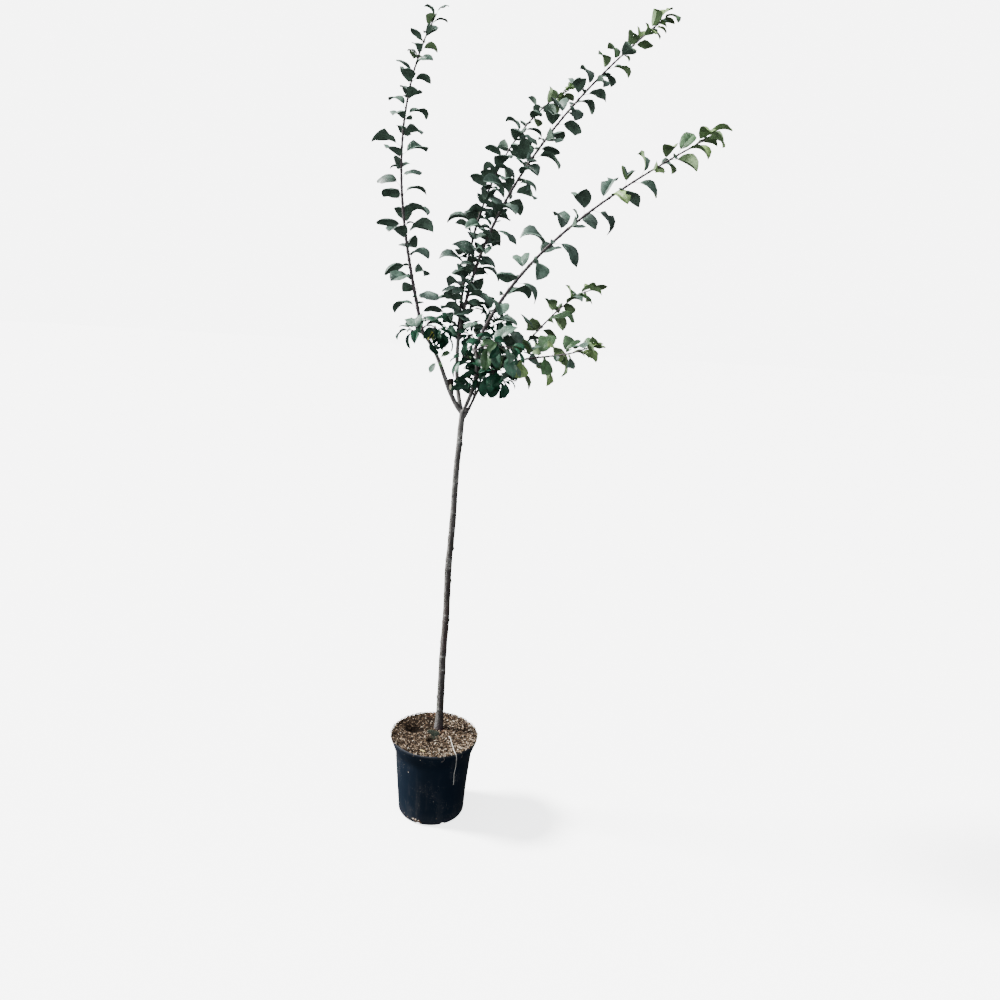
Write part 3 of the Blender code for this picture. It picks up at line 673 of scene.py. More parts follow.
# The lines of the straw and of the roots, each by points, from the compost out over the lip.
STRAW_RADIUS, STRAW_TAPER = 0.00100, 0.35
STRAW = (
    (0.0455, -0.0180, 0.2600), (0.0480, -0.0300, 0.2655), (0.0515, -0.0500, 0.2680),
    (0.0550, -0.0710, 0.2665), (0.0590, -0.0930, 0.2655), (0.0625, -0.1100, 0.2645),
    (0.0665, -0.1195, 0.2615), (0.0695, -0.1215, 0.2540), (0.0700, -0.1180, 0.2420),
    (0.0700, -0.1085, 0.2250), (0.0690, -0.1025, 0.2050), (0.0668, -0.1000, 0.1900),
    (0.0655, -0.0985, 0.1740), (0.0660, -0.0965, 0.1580), (0.0655, -0.0955, 0.1420),
)
ROOT_RADIUS = 0.00032
HAIR_ROOTS = (
    (
        (0.030, -0.121, 0.259), (0.031, -0.1335, 0.2590), (0.0335, -0.1345, 0.2500),
        (0.0300, -0.1320, 0.2430), (0.0235, -0.1325, 0.2400),
    ),
    (
        (0.083, -0.094, 0.258), (0.0865, -0.1035, 0.2590), (0.0880, -0.1010, 0.2470),
        (0.0860, -0.0990, 0.2360),
    ),
    ((0.112, -0.055, 0.258), (0.1215, -0.0610, 0.2580), (0.1210, -0.0580, 0.2470)),
    ((-0.052, -0.112, 0.257), (-0.0570, -0.1235, 0.2580), (-0.0580, -0.1220, 0.2500)),
)


def rods(name, lines, resolution=2):
    """Capped round rods, one along each line of (centre, radius), as one mesh."""
    guide = bpy.data.curves.new(name, "CURVE")
    guide.dimensions, guide.use_fill_caps = "3D", True
    guide.bevel_depth, guide.bevel_resolution = 1.0, resolution
    for line in lines:
        run = guide.splines.new("POLY")
        run.points.add(len(line) - 1)
        for point, (centre, radius) in zip(run.points, line):
            point.co, point.radius = (*centre, 1.0), radius
    made = bpy.data.objects.new(name, guide)
    bpy.context.scene.collection.objects.link(made)
    select_only(made)
    bpy.ops.object.convert(target="MESH")
    made = bpy.context.object
    bpy.ops.object.mode_set(mode="EDIT")
    bpy.ops.mesh.select_all(action="SELECT")
    bpy.ops.mesh.normals_make_consistent(inside=False)
    bpy.ops.object.mode_set(mode="OBJECT")
    return made


def eased(points, steps):
    """A smooth curve through the points, each stretch in so many steps."""
    points = [Vector(point) for point in points]
    ends = [2 * points[0] - points[1], *points, 2 * points[-1] - points[-2]]
    curve = []
    for a, b, c, d in zip(ends, ends[1:], ends[2:], ends[3:]):
        for t in (step / steps for step in range(steps)):
            bend = (2 * a - 5 * b + 4 * c - d) * t**2 + (3 * b - a - 3 * c + d) * t**3
            curve.append(0.5 * (2 * b + (c - a) * t + bend))
    return [*curve, points[-1]]


straw_curve = eased(STRAW, 3)
thinning = STRAW_TAPER / (len(straw_curve) - 1)
straw_line = [(spot, STRAW_RADIUS * (1.0 - thinning * i)) for i, spot in enumerate(straw_curve)]
dry_straw = rods("dry_straw", [straw_line])
smooth(dry_straw, 60.0)
dry_straw.data.materials.append(fibre_finish("dry_straw", (0.42, 0.40, 0.36), (0.62, 0.60, 0.56)))
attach(dry_straw, "root")

root_lines = [[(spot, ROOT_RADIUS) for spot in eased(root, 5)] for root in HAIR_ROOTS]
hair_roots = rods("hair_roots", root_lines, 1)
smooth(hair_roots, 60.0)
hair_roots.data.materials.append(fibre_finish("hair_root", (0.16, 0.13, 0.11), (0.30, 0.26, 0.22)))
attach(hair_roots, "root")

# --- Trunk and boughs --------------------------------------------------------------------------
# One grey-barked stem, knobbly with old bud scars, forks a metre up into four boughs that grew
# from it. The left bough's old leader was sawn off flat, and its cut face has weathered pale.

TRUNK_LENGTH, TRUNK_RADII, TRUNK_LEANS = 1.008, (0.0120, 0.0086), (0.7, 1.15, 3.2)
TRUNK_RINGS, SUNK = 180, 0.010
# The flare at the trunk's foot, and how far and how often it waves about its lean.
FLARE, FLARE_HEIGHT = 0.0036, 0.020
WAVE, WAVES = 0.0014, 3.3
FORK_BELOW_TIP, LOW_FORK_BELOW_TIP = 0.006, 0.030
# Every limb's centreline is this many straight steps, and a stem stands this clear of its bough.
LIMB_STEPS, GAP = 12, 0.0003
# The swelling at a stem's foot: how far it reaches in the fork, and its steps on a bough's tip.
COLLAR = 0.028
COLLAR_SWELL = (1.55, 1.40, 1.22, 1.06, 0.96)
# The sawn leader on the left bough: its place up the bough, length, lean and radius, and where
# its dead bark is torn down to the wood.
STUB_PLACE, STUB_LENGTH, STUB_LEAN, STUB_RADIUS = 0.064, 0.044, 3.0, 0.0074
TORN_HEIGHT, TORN_SIZE = 0.0210, (0.0040, 0.0080)
# The limbs are welded into one skin of faces of this size.
VOXEL = 0.00125
# Bud scars and knots: how far they spread up and round the trunk, then for each its height, its
# turn, its size and how pale its scar is.
KNOT_HEIGHT, KNOT_TURN = 0.0052, 26.0
KNOTS = (
    (0.913, -8.0, 1.00, 0.3), (0.862, 165.0, 0.55, 0.2), (0.815, 60.0, 0.80, 0.3),
    (0.762, 230.0, 0.60, 0.5), (0.706, -75.0, 0.70, 0.2), (0.674, 95.0, 0.60, 0.6),
    (0.628, 150.0, 0.70, 0.3), (0.595, 2.0, 1.15, 0.0), (0.560, 205.0, 0.60, 0.3),
    (0.535, -60.0, 0.55, 0.9), (0.493, 5.0, 1.00, 0.2), (0.420, 120.0, 0.70, 0.3),
    (0.383, -110.0, 0.60, 1.0), (0.367, 10.0, 0.95, 0.2), (0.295, -160.0, 0.70, 0.5),
    (0.247, -100.0, 0.60, 1.0), (0.203, -70.0, 0.70, 0.9), (0.160, 80.0, 0.80, 0.4),
    (0.110, 190.0, 0.70, 0.3), (0.070, -120.0, 0.80, 1.0), (0.038, 20.0, 0.60, 0.2),
)
# The rings that each pause in growth left round the trunk, by height.
RING_HEIGHT = 0.0030
RINGS = (0.971, 0.838, 0.738, 0.674, 0.611, 0.527, 0.444, 0.361, 0.270, 0.190, 0.092)
# The bark's colour from the foot up to the tip of the crown.
BARK_COLOURS = (
    (0.00, (0.026, 0.011, 0.015)),
    (0.03, (0.034, 0.029, 0.028)),
    (0.19, (0.042, 0.038, 0.036)),
    (0.26, (0.044, 0.026, 0.025)),
    (0.40, (0.044, 0.038, 0.036)),
    (0.60, (0.054, 0.049, 0.047)),
    (0.77, (0.088, 0.083, 0.080)),
    (0.86, (0.160, 0.152, 0.147)),
    (1.00, (0.155, 0.144, 0.140)),
)

# A limb: the foot of its centreline, the way it leans, its leans in degrees from upright at the
# foot, the middle and the tip, its length, and its radii at both ends.
Limb = namedtuple("Limb", "foot azimuth leans length radii")


def heading(lean, azimuth):
    """The direction that leans so far from upright, towards an azimuth, in degrees."""
    lean, azimuth = math.radians(lean), math.radians(azimuth)
    out = math.sin(lean)
    return Vector((out * math.cos(azimuth), out * math.sin(azimuth), math.cos(lean)))


def lean_at(limb, t):
    """The lean runs smoothly through its values at the foot, the middle and the tip."""
    foot, middle, tip = limb.leans
    return foot * (1 - t) * (1 - 2 * t) + 4 * middle * t * (1 - t) + tip * t * (2 * t - 1)


def centreline(limb):
    """The points of a limb's centreline."""
    points = [Vector(limb.foot)]
    for step in range(LIMB_STEPS):
        lean = lean_at(limb, (step + 0.5) / LIMB_STEPS)
        points.append(points[-1] + heading(lean, limb.azimuth) * (limb.length / LIMB_STEPS))
    return points


def along(limb, distance):
    """The limb's centre, direction, and two directions across it, at a distance from its foot."""
    points = centreline(limb)
    t = min(max(distance / limb.length, 0.0), 1.0)
    place = t * LIMB_STEPS
    step = min(int(place), LIMB_STEPS - 1)
    centre = points[step].lerp(points[step + 1], place - step)
    direction = heading(lean_at(limb, t), limb.azimuth)
    side = heading(90.0, limb.azimuth + 90.0)
    return centre, direction, side, direction.cross(side)


def radius_at(limb, distance):
    """A limb's radius at a distance from its foot."""
    t = min(max(distance / limb.length, 0.0), 1.0)
    return limb.radii[0] + (limb.radii[1] - limb.radii[0]) * t


def limb_line(limb, start, end, spacing):
    """Centres and radii along a limb, its bends eased, for a rod."""
    points = centreline(limb)
    curve = eased(points, 8)
    count = max(2, round((end - start) / spacing))
    line = []
    for i in range(count + 1):
        distance = start + (end - start) * i / count
        place = min(max(distance / limb.length, 0.0), 1.0) * (len(curve) - 1)
        step = min(int(place), len(curve) - 2)
        line.append((curve[step].lerp(curve[step + 1], place - step), radius_at(limb, distance)))
    return line


TRUNK = Limb((*TRUNK_FOOT, GROUND), 0.0, TRUNK_LEANS, TRUNK_LENGTH, TRUNK_RADII)
FORK = tuple(along(TRUNK, TRUNK_LENGTH - FORK_BELOW_TIP)[0])
LOW_FORK = tuple(along(TRUNK, TRUNK_LENGTH - LOW_FORK_BELOW_TIP)[0])
BOUGHS = {
    "bough_left": Limb(FORK, 165.0, (44.0, 22.5, 50.5), 0.259, (0.0074, 0.0048)),
    "bough_middle": Limb(FORK, 116.0, (40.0, 10.0, -4.0), 0.228, (0.0064, 0.0054)),
    "bough_right": Limb(FORK, -66.5, (39.0, 28.0, -28.0), 0.208, (0.0052, 0.0044)),
    "bough_low": Limb(LOW_FORK, -14.0, (34.0, 24.0, 60.0), 0.174, (0.0040, 0.0036)),
}
# A leafy mass: the limb that bears it and its seat round that limb's tip, then its stem as a limb,
# its leaves' size, spacing, the bare foot below them and their size at the tip, its seed, and its
# twigs.
Mass = namedtuple(
    "Mass",
    "carrier seat azimuth leans length radii leaf internode bare tip_size seed twigs twig_length",
    defaults=(0, 0.0),
)
MASSES = {
    "shoot_left": Mass(
        "bough_left", 90.0, 150.0, (16.0, 3.5, -34.0), 0.838, (0.0042, 0.0014),
        0.069, 0.0225, 0.018, 0.74, 11,
    ),
    "shoot_middle_rear": Mass(
        "bough_middle", -90.0, 32.0, (2.0, 23.0, 60.0), 0.825, (0.0034, 0.0013),
        0.067, 0.0220, 0.014, 0.72, 12,
    ),
    "shoot_middle_front": Mass(
        "bough_middle", 90.0, -22.0, (6.0, 33.0, 53.0), 0.958, (0.0038, 0.0014),
        0.069, 0.0230, 0.022, 0.74, 13,
    ),
    "shoot_right": Mass(
        "bough_right", 120.0, -28.0, (21.0, 50.0, 62.0), 0.794, (0.0042, 0.0014),
        0.077, 0.0285, 0.020, 0.84, 14,
    ),
    "shoot_low_rear": Mass(
        "bough_low", 30.0, 35.0, (58.0, 49.0, 74.0), 0.430, (0.0026, 0.0012),
        0.063, 0.0190, 0.020, 0.90, 15,
    ),
    "shoot_low_front": Mass(
        "bough_low", 150.0, -35.0, (50.0, 80.0, 64.0), 0.298, (0.0026, 0.0012),
        0.068, 0.0165, 0.016, 0.95, 16,
    ),
    "spray_outer": Mass(
        "bough_left", -130.0, 200.0, (70.0, 82.0, 92.0), 0.030, (0.0015, 0.0011),
        0.061, 0.0075, 0.006, 0.90, 22,
    ),
    "spray_left": Mass(
        "bough_left", -42.0, -58.0, (40.0, 92.0, 126.0), 0.120, (0.0017, 0.0011),
        0.060, 0.0160, 0.012, 0.85, 17,
    ),
    "spray_middle": Mass(
        "bough_middle", 0.0, -150.0, (36.0, 100.0, 150.0), 0.110, (0.0015, 0.0011),
        0.060, 0.0150, 0.008, 0.85, 23, 1, 0.045,
    ),
    "spray_right": Mass(
        "bough_right", -60.0, -45.0, (60.0, 86.0, 96.0), 0.130, (0.0016, 0.0011),
        0.058, 0.0160, 0.008, 0.85, 18, 3, 0.055,
    ),
    "spray_under": Mass(
        "bough_low", -90.0, -100.0, (75.0, 80.0, 88.0), 0.075, (0.0015, 0.0011),
        0.060, 0.0130, 0.006, 0.90, 19, 3, 0.050,
    ),
    "spray_front": Mass(
        "trunk", 0.0, -53.0, (66.0, 14.0, 6.0), 0.195, (0.0024, 0.0012),
        0.057, 0.0140, 0.090, 0.85, 20, 4, 0.055,
    ),
    "spray_rear": Mass(
        "trunk", 0.0, 48.0, (44.0, 14.0, 10.0), 0.310, (0.0026, 0.0012),
        0.061, 0.0190, 0.070, 0.85, 21, 4, 0.065,
    ),
}


def stem_of(mass):
    """The mass's stem. On a bough it grows from the tip, and on the trunk it starts in the fork."""
    if mass.carrier == "trunk":
        return Limb(FORK, mass.azimuth, mass.leans, mass.length, mass.radii)
    bough = BOUGHS[mass.carrier]
    tip, direction, side, other = along(bough, bough.length)
    start = heading(mass.leans[0], mass.azimuth)
    lift = GAP + mass.radii[0] * (start - direction * start.dot(direction)).length
    seat = math.radians(mass.seat)
    spread = (side * math.cos(seat) + other * math.sin(seat)) * (mass.radii[0] + 0.0010)
    foot = tuple(tip + direction * lift + spread)
    return Limb(foot, mass.azimuth, mass.leans, mass.length, mass.radii)


def trunk_line():
    """The trunk's rings, waving about its lean, with the flare at its foot sunk in the compost."""
    line = []
    for i in range(TRUNK_RINGS + 1):
        height = -SUNK + (TRUNK_LENGTH + SUNK) * i / TRUNK_RINGS
        t = min(max(height / TRUNK_LENGTH, 0.0), 1.0)
        sway = WAVE * math.sin(math.pi * t)
        turn = WAVES * math.tau * t
        centre = along(TRUNK, max(height, 0.0))[0] + UP * min(height, 0.0)
        centre += Vector((sway * math.sin(turn), sway * math.cos(turn), 0.0))
        flare = FLARE * math.exp(-max(height, 0.0) / FLARE_HEIGHT)
        line.append((centre, radius_at(TRUNK, height) + flare))
    return line + [(line[-1][0] + UP * 0.004, 0.6 * TRUNK_RADII[1])]


def growth_collar(mass):
    """The swelling by which a shoot grows out of its bough's tip, or out of the fork."""
    stem = stem_of(mass)
    if mass.carrier == "trunk":
        return limb_line(stem, 0.0, COLLAR + 0.004, 0.004)
    bough = BOUGHS[mass.carrier]
    tip = along(bough, bough.length - 0.004)[0]
    line = limb_line(stem, 0.0, 0.016, 0.004)
    swollen = [(centre, radius * swell) for (centre, radius), swell in zip(line, COLLAR_SWELL)]
    return [(tip, 1.5 * mass.radii[0]), *swollen]


def bark_relief(spot, out):
    """How far the bark stands out at a place, and how pale it is there: its scars, and patches
    painted pale as light on the lit left side.
    """
    coarse = noise.noise(Vector((spot.x * 60.0, spot.y * 60.0, spot.z * 24.0)))
    ridges = noise.noise(Vector((spot.x * 210.0, spot.y * 210.0, spot.z * 55.0)))
    fine = noise.noise(spot * 420.0)
    patches = noise.noise(Vector((spot.x * 90.0, spot.y * 90.0, spot.z * 46.0)))
    height = spot.z - GROUND
    # Painted light: pale patches go only on the side that faces the light, up the trunk.
    weather = max(0.0, -0.8 * out.x + 0.35 * out.y) * min(1.0, max(0.0, (height - 0.30) / 0.35))
    pale = weather * min(1.0, max(0.0, (patches + 0.02) * 5.0))
    if height > TRUNK_LENGTH - 0.012:
        return 0.00022 * coarse + 0.00016 * ridges + 0.00010 * fine, 0.5 * pale
    rise = 0.00085 * coarse + 0.00040 * ridges + 0.00022 * fine
    turn = math.degrees(math.atan2(out.y, out.x))
    for knot, knot_turn, size, paleness in KNOTS:
        up = (height - knot) / KNOT_HEIGHT
        if abs(up) < 3.0:
            aside = abs((turn - knot_turn + 180.0) % 360.0 - 180.0) / KNOT_TURN
            swell = math.exp(-up * up - aside * aside)
            fleck = math.exp(-((up * 1.5) ** 2) - (aside * 0.75) ** 2)
            dimple = math.exp(-((up - 0.5) ** 2) * 5.0 - aside * aside * 5.0)
            rise += size * (0.0031 * swell - 0.0015 * dimple)
            pale = max(pale, paleness * fleck)
    for ring in RINGS:
        up = (height - ring) / RING_HEIGHT
        if abs(up) < 3.0:
            rise += 0.00042 * math.exp(-up * up)
    return rise, pale


def stub_bark(spot, out):
    """Whether a place is on the sawn leader's cut, on its dead bark, or where that bark is torn."""
    on_cut = (spot - stub_top).length < STUB_RADIUS * 1.25 and out.dot(stub_lean) > 0.6
    up = (spot - stub_foot).dot(stub_lean)
    beside = (spot - stub_foot - stub_lean * up).length
    across = spot.x - stub_foot.x
    dead = beside < STUB_RADIUS + 0.0016 and up > 0.010 and across > -0.35 * up
    tear = math.hypot((up - TORN_HEIGHT) / TORN_SIZE[1], (across + 0.0030) / TORN_SIZE[0])
    return on_cut, dead, dead and tear < 1.0 and out.y < -0.3


def bark_finish():
    """Grey young bark: streaked and paler up the crown, with painted light in pale flecks on the
    lit left side and painted shade on the right.
    """
    finish = Finish("trunk_bark", 0.86)
    finish.shader.inputs["Specular IOR Level"].default_value = 0.12
    height = finish.parts(finish.node("ShaderNodeTexCoord", output="Object"))[2]
    streaks = finish.grain(70.0, 5.0, (1.0, 1.0, 0.28))
    fine = finish.grain(430.0, 3.0)
    blotch = finish.grain(33.0, 3.0, (1.0, 1.0, 0.55))
    scar, weather, dead = (
        finish.node("ShaderNodeAttribute", {"attribute_name": name}, output="Fac")
        for name in ("scar", "weather", "dead")
    )
    up_bark = (height - 0.25) / 1.28 + 0.03 * (blotch - 0.5)
    colour = finish.node("ShaderNodeValToRGB", {"stops": BARK_COLOURS}, {0: up_bark})
    lichen = blotch.step(0.57, 0.65) * height.step(0.45, 1.15) * fine.step(0.44, 0.56)
    for share, tint in (
        (streaks.step(0.44, 0.62) * 0.70, (0.014, 0.012, 0.012)),
        (fine.step(0.58, 0.68) * 0.50, (0.17, 0.165, 0.155)),
        # Painted light on the lit side, and below it painted shade on the side away from the light.
        (weather.step(0.62, 0.95) * fine.step(0.42, 0.60) * 0.55, (0.24, 0.235, 0.225)),
        ((1.0 - weather).step(0.45, 0.90) * 0.60, (0.012, 0.010, 0.010)),
        (lichen * 0.7, (0.34, 0.34, 0.32)),
        (scar * fine.step(0.42, 0.58) * 0.6, (0.42, 0.42, 0.40)),
        (dead * 0.92, (0.014, 0.009, 0.006)),
        ((scar - 0.9).step(0.1, 0.5), (0.74, 0.71, 0.50)),
    ):
        colour = finish.blend(share, colour, tint)
    finish.wear(Base_Color=colour)
    finish.relief(streaks * 0.6 + fine * 0.4, 0.0016)
    return finish.material


stub_foot = along(BOUGHS["bough_left"], STUB_PLACE)[0]
stub_lean = heading(STUB_LEAN, BOUGHS["bough_left"].azimuth)
stub_top = stub_foot + stub_lean * STUB_LENGTH
stub_line = [(stub_foot.lerp(stub_top, reach / 4), STUB_RADIUS) for reach in range(5)]
bark_lines = [trunk_line()]
bark_lines += [limb_line(limb, 0.0, limb.length, 0.006) for limb in BOUGHS.values()]
bark_lines += [growth_collar(mass) for mass in MASSES.values()]
bark = rods("trunk_and_boughs", [*bark_lines, stub_line], 6)
for kind, settings in (
    ("REMESH", {"mode": "VOXEL", "voxel_size": VOXEL, "use_smooth_shade": True}),
    ("SMOOTH", {"factor": 0.5, "iterations": 4}),
):
    step = bark.modifiers.new(kind.lower(), kind)
    for setting, value in settings.items():
        setattr(step, setting, value)
    select_only(bark)
    bpy.ops.object.modifier_apply(modifier=step.name)

shifts, marks = [], {"scar": [], "dead": [], "weather": []}
for vert in bark.data.vertices:
    spot, out = vert.co.copy(), vert.normal.copy()
    rise, pale = bark_relief(spot, out)
    on_cut, dead, torn = stub_bark(spot, out)
    shifts.append(out * (0.0 if on_cut else -0.0012 if torn else rise))
    marks["scar"].append(1.6 if torn else 0.75 if on_cut else pale)
    marks["dead"].append(1.0 if dead and not torn else 0.0)
    # How much a spot faces the light, for the painted light and shade.
    marks["weather"].append(min(max(0.5 - 0.46 * out.x - 0.18 * out.y, 0.0), 1.0))
for vert, shift in zip(bark.data.vertices, shifts):
    vert.co += shift
for mark, values in marks.items():
    bark.data.attributes.new(mark, "FLOAT", "POINT").data.foreach_set("value", values)
smooth(bark, 70.0)
bark.data.materials.append(bark_finish())
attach(bark, "root")
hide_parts("trunk", *BOUGHS)

# --- Shoots and twigs --------------------------------------------------------------------------
# Last season's whips rise from the boughs, thin and a little swollen at each node, with a bud in
# every leaf's axil. In the middle of the crown they branch into twigs and short fruiting spurs.

# How far each leaf turns on from the last, and the twigs' radii, bare foot, spacing and droop.
SPIRAL = 144.0
TWIG_RADII, TWIG_BARE, TWIG_INTERNODE, TWIG_DROOP = (0.0011, 0.0009), 0.016, 0.010, 8.0
# Young wood is drawn this much thicker than its solid, and swells at a node by this much more.
STOUT, NODE_SWELL, NODE_LENGTH, NODE_SWAY = 1.28, 0.34, 0.0026, 0.00016
# A bud, by shares of its length and the radius there.
BUD = ((0.0, 0.0008), (0.35, 0.00125), (0.7, 0.0009), (1.0, 0.00025))
STEMS = {name: stem_of(mass) for name, mass in MASSES.items()}


def points_of(node):
    """A tree of the points of a solid, to find what stands at a place."""
    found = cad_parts[node].data.vertices
    tree = KDTree(len(found))
    for index, vert in enumerate(found):
        tree.insert(vert.co, index)
    tree.balance()
    return tree


SOLID_POINTS = {name: points_of(name) for name in MASSES}


def is_there(name, spot, slack=0.0004):
    """Whether the mass's solid reaches a spot."""
    return SOLID_POINTS[name].find(spot)[2] < slack


def twigs_of(name):
    """Side twigs spaced round the stem, each arching outwards. Those with no room aren't there."""
    mass, stem, twigs = MASSES[name], STEMS[name], []
    for index in range(mass.twigs):
        rng = random.Random(mass.seed * 1000 + 900 + index)
        distance = stem.length * (0.30 + 0.60 * (index + 0.5) / mass.twigs)
        centre, direction, side, other = along(stem, distance)
        turn = math.radians(index * SPIRAL + rng.uniform(-15, 15) + mass.seed * 40)
        radial = side * math.cos(turn) + other * math.sin(turn)
        out = (direction * 0.6 + radial * 0.8).normalized()
        lean, azimuth = math.degrees(math.acos(out.z)), math.degrees(math.atan2(out.y, out.x))
        leans = (lean, lean + TWIG_DROOP, lean + 2 * TWIG_DROOP)
        length = mass.twig_length * rng.uniform(0.85, 1.15)
        twig = Limb(tuple(centre), azimuth, leans, length, TWIG_RADII)
        if is_there(name, along(twig, length)[0], 0.0016):
            twigs.append(twig)
    return twigs


def leaf_places(length, internode, bare):
    """Distances up a stem that bear leaves, closer together towards the tip."""
    distance = bare
    while distance < length - 0.002:
        yield distance
        distance += internode * (1.0 - 0.55 * (distance / length) ** 3)
    yield length - 0.001


def stem_bare(mass):
    """How far up its stem a mass's leaves start. In the fork that is clear of the collar."""
    return max(mass.bare, COLLAR + GAP) if mass.carrier == "trunk" else mass.bare


def limbs_of(name):
    """A mass's stem and twigs in turn, each with its number and the places of its leaves."""
    mass = MASSES[name]
    for number, limb in enumerate([STEMS[name], *TWIGS[name]]):
        spacing = (TWIG_INTERNODE, TWIG_BARE) if number else (mass.internode, stem_bare(mass))
        yield number, limb, list(leaf_places(limb.length, *spacing))


def noded_line(limb, start, nodes):
    """A stem's line, a little swollen and kinked at each node."""
    rng = random.Random(round(limb.length * 1e6))
    line = limb_line(limb, start, limb.length, 0.0035)
    count = len(line) - 1
    noded = []
    for i, (centre, radius) in enumerate(line):
        distance = start + (limb.length - start) * i / count
        swell = max((dome(distance - node, NODE_LENGTH) for node in nodes), default=0.0)
        sway = Vector((rng.uniform(-1, 1), rng.uniform(-1, 1), rng.uniform(-1, 1)))
        centre = centre + sway * (NODE_SWAY if 0 < i < count else 0.0)
        noded.append((centre, radius * (STOUT + NODE_SWELL * swell)))
    return noded


def bud_line(centre, direction, radial, radius, size):
    """A small scaly bud that hugs the stem in a leaf's axil."""
    foot = centre + radial * (0.85 * radius)
    lean = (direction + radial * 0.42).normalized()
    return [(foot + lean * (size * share), wide) for share, wide in BUD]


def young_wood():
    """Smooth purplish brown bark, streaked grey and dotted with pale pores."""
    finish = Finish("young_wood", 0.7)
    finish.shader.inputs["Specular IOR Level"].default_value = 0.25
    streaks = finish.grain(120.0, 3.0, (1.0, 1.0, 0.35))
    dots = finish.grain(650.0, 1.0)
    height = finish.parts(finish.node("ShaderNodeTexCoord", output="Object"))[2]
    base = finish.blend(height.step(1.35, 2.2), (0.036, 0.029, 0.031), (0.030, 0.023, 0.026))
    colour = finish.blend(streaks.step(0.38, 0.66) * 0.6, base, (0.078, 0.068, 0.070))
    colour = finish.blend(dots.step(0.66, 0.72) * 0.6, colour, (0.16, 0.15, 0.14))
    finish.wear(Base_Color=colour)
    finish.relief(streaks, 0.0007)
    return finish.material


wood = young_wood()
TWIGS = {name: twigs_of(name) for name in MASSES}
for name, mass in MASSES.items():
    start = COLLAR - 0.002 if mass.carrier == "trunk" else 0.0
    lines = []
    for number, limb, nodes in limbs_of(name):
        lines.append(noded_line(limb, 0.0 if number else start, nodes))
        for index, distance in enumerate(nodes[:-1]):
            rng = random.Random(mass.seed * 7000 + number * 300 + index)
            centre, direction, side, other = along(limb, distance)
            angle = math.radians(index * SPIRAL + rng.uniform(-10, 10))
            radial = side * math.cos(angle) + other * math.sin(angle)
            size = rng.uniform(0.0030, 0.0055)
            lines.append(bud_line(centre, direction, radial, radius_at(limb, distance), size))
    twig_piece = rods(f"{name}_twigs", lines, 2)
    smooth(twig_piece, 50.0)
    twig_piece.data.materials.append(wood)
    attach(twig_piece, "root")
    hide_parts(name)

# --- Leaves ------------------------------------------------------------------------------------
# Leathery orchard leaves spiral up every shoot on thin stalks: broad past the middle, toothed,
# folded along the rib and arched over. Old ones are dark blue-green, and the youngest bright.

# The stalk's share of the blade's length and its radius, and the blade's widest over its length.
PETIOLE, PETIOLE_RADIUS, LEAF_WIDTH = 0.26, 0.0007, 0.68
HALF_THICK = 0.00030
# How far the halves of a blade fold up from the rib, and the share of leaves with a bitten edge.
LEAF_FOLDS, BITTEN = (26, 18, 32, 12, -16), 0.12
# How far a leaf leans from its stem, and how far its face turns up to the sky.
AXIL, SKYWARD = 56.0, 0.65
TURNS_TRIED = (0.0, 32.0, -32.0, 64.0, -64.0, 100.0, -100.0)
# The rows of a blade by shares of its length, and the rings of a stalk by its length and radius.
BLADE_STATIONS = (0.05, 0.16, 0.31, 0.47, 0.63, 0.78, 0.90, 0.97)
STALK_RINGS = ((0.0, 1.15), (0.55, 0.8), (1.12, 0.75))
STALK_CORNERS = ((-0.87, 0.5), (0.87, 0.5), (0.0, -1.0))
# Blades are broader on the shoots and narrower on the crowded sprays.
SHOOT_BROAD, RIGHT_BROAD, SPRAY_BROAD = 1.12, 1.0, 0.74
# No leaf hangs before the left bough's knee: left of this and below this.
KNEE_LEFT, KNEE_TOP = -0.052, 1.476
# No small leaf hangs below this, and these masses have second leaves at many of their nodes.
CROWN_FOOT = 1.315
CROWDED = ("spray_right", "spray_under", "spray_front", "spray_rear", "spray_left", "spray_middle")
# What each face of a leaf belongs to, and the tints, the first two for the shaded heart.
UPPER, UNDER, STALK = range(3)
LEAF_TINTS = {
    "leaf_shade": (0.0028, 0.0270, 0.0120),
    "leaf_hull": (0.0110, 0.0500, 0.0270),
    "leaf_jade": (0.0230, 0.0800, 0.0460),
    "leaf_deep": (0.0280, 0.0540, 0.0390),
    "leaf_dark": (0.0420, 0.0790, 0.0580),
    "leaf_green": (0.0600, 0.1120, 0.0790),
    "leaf_grey": (0.0850, 0.1330, 0.1050),
    "leaf_fresh": (0.0500, 0.1120, 0.0440),
    "leaf_young": (0.1600, 0.2600, 0.0850),
    "leaf_under": (0.0740, 0.1200, 0.0860),
    "leaf_under_young": (0.1400, 0.2200, 0.1000),
    "leaf_yellow": (0.3000, 0.3200, 0.0500),
    "leaf_stalk": (0.130, 0.135, 0.090),
}
SHADED = ("leaf_shade", "leaf_hull")
TINT = {name: index for index, name in enumerate(LEAF_TINTS)}


def deck(**counts):
    """Tints to deal from, so many of each."""
    return [f"leaf_{name}" for name, count in counts.items() for _ in range(count)]


OLD_DECK = deck(deep=3, dark=5, green=5, grey=3)
MIDDLE_DECK = deck(deep=2, dark=4, green=4, grey=1, fresh=1)
FRESH_DECK = deck(dark=1, green=4, fresh=5, young=3)
INNER_DECK = deck(shade=7, hull=6, jade=2)
OUTER_DECK = deck(hull=5, jade=5, green=2, fresh=3)
FRONT_DECK = deck(shade=6, hull=5, jade=2, fresh=4)
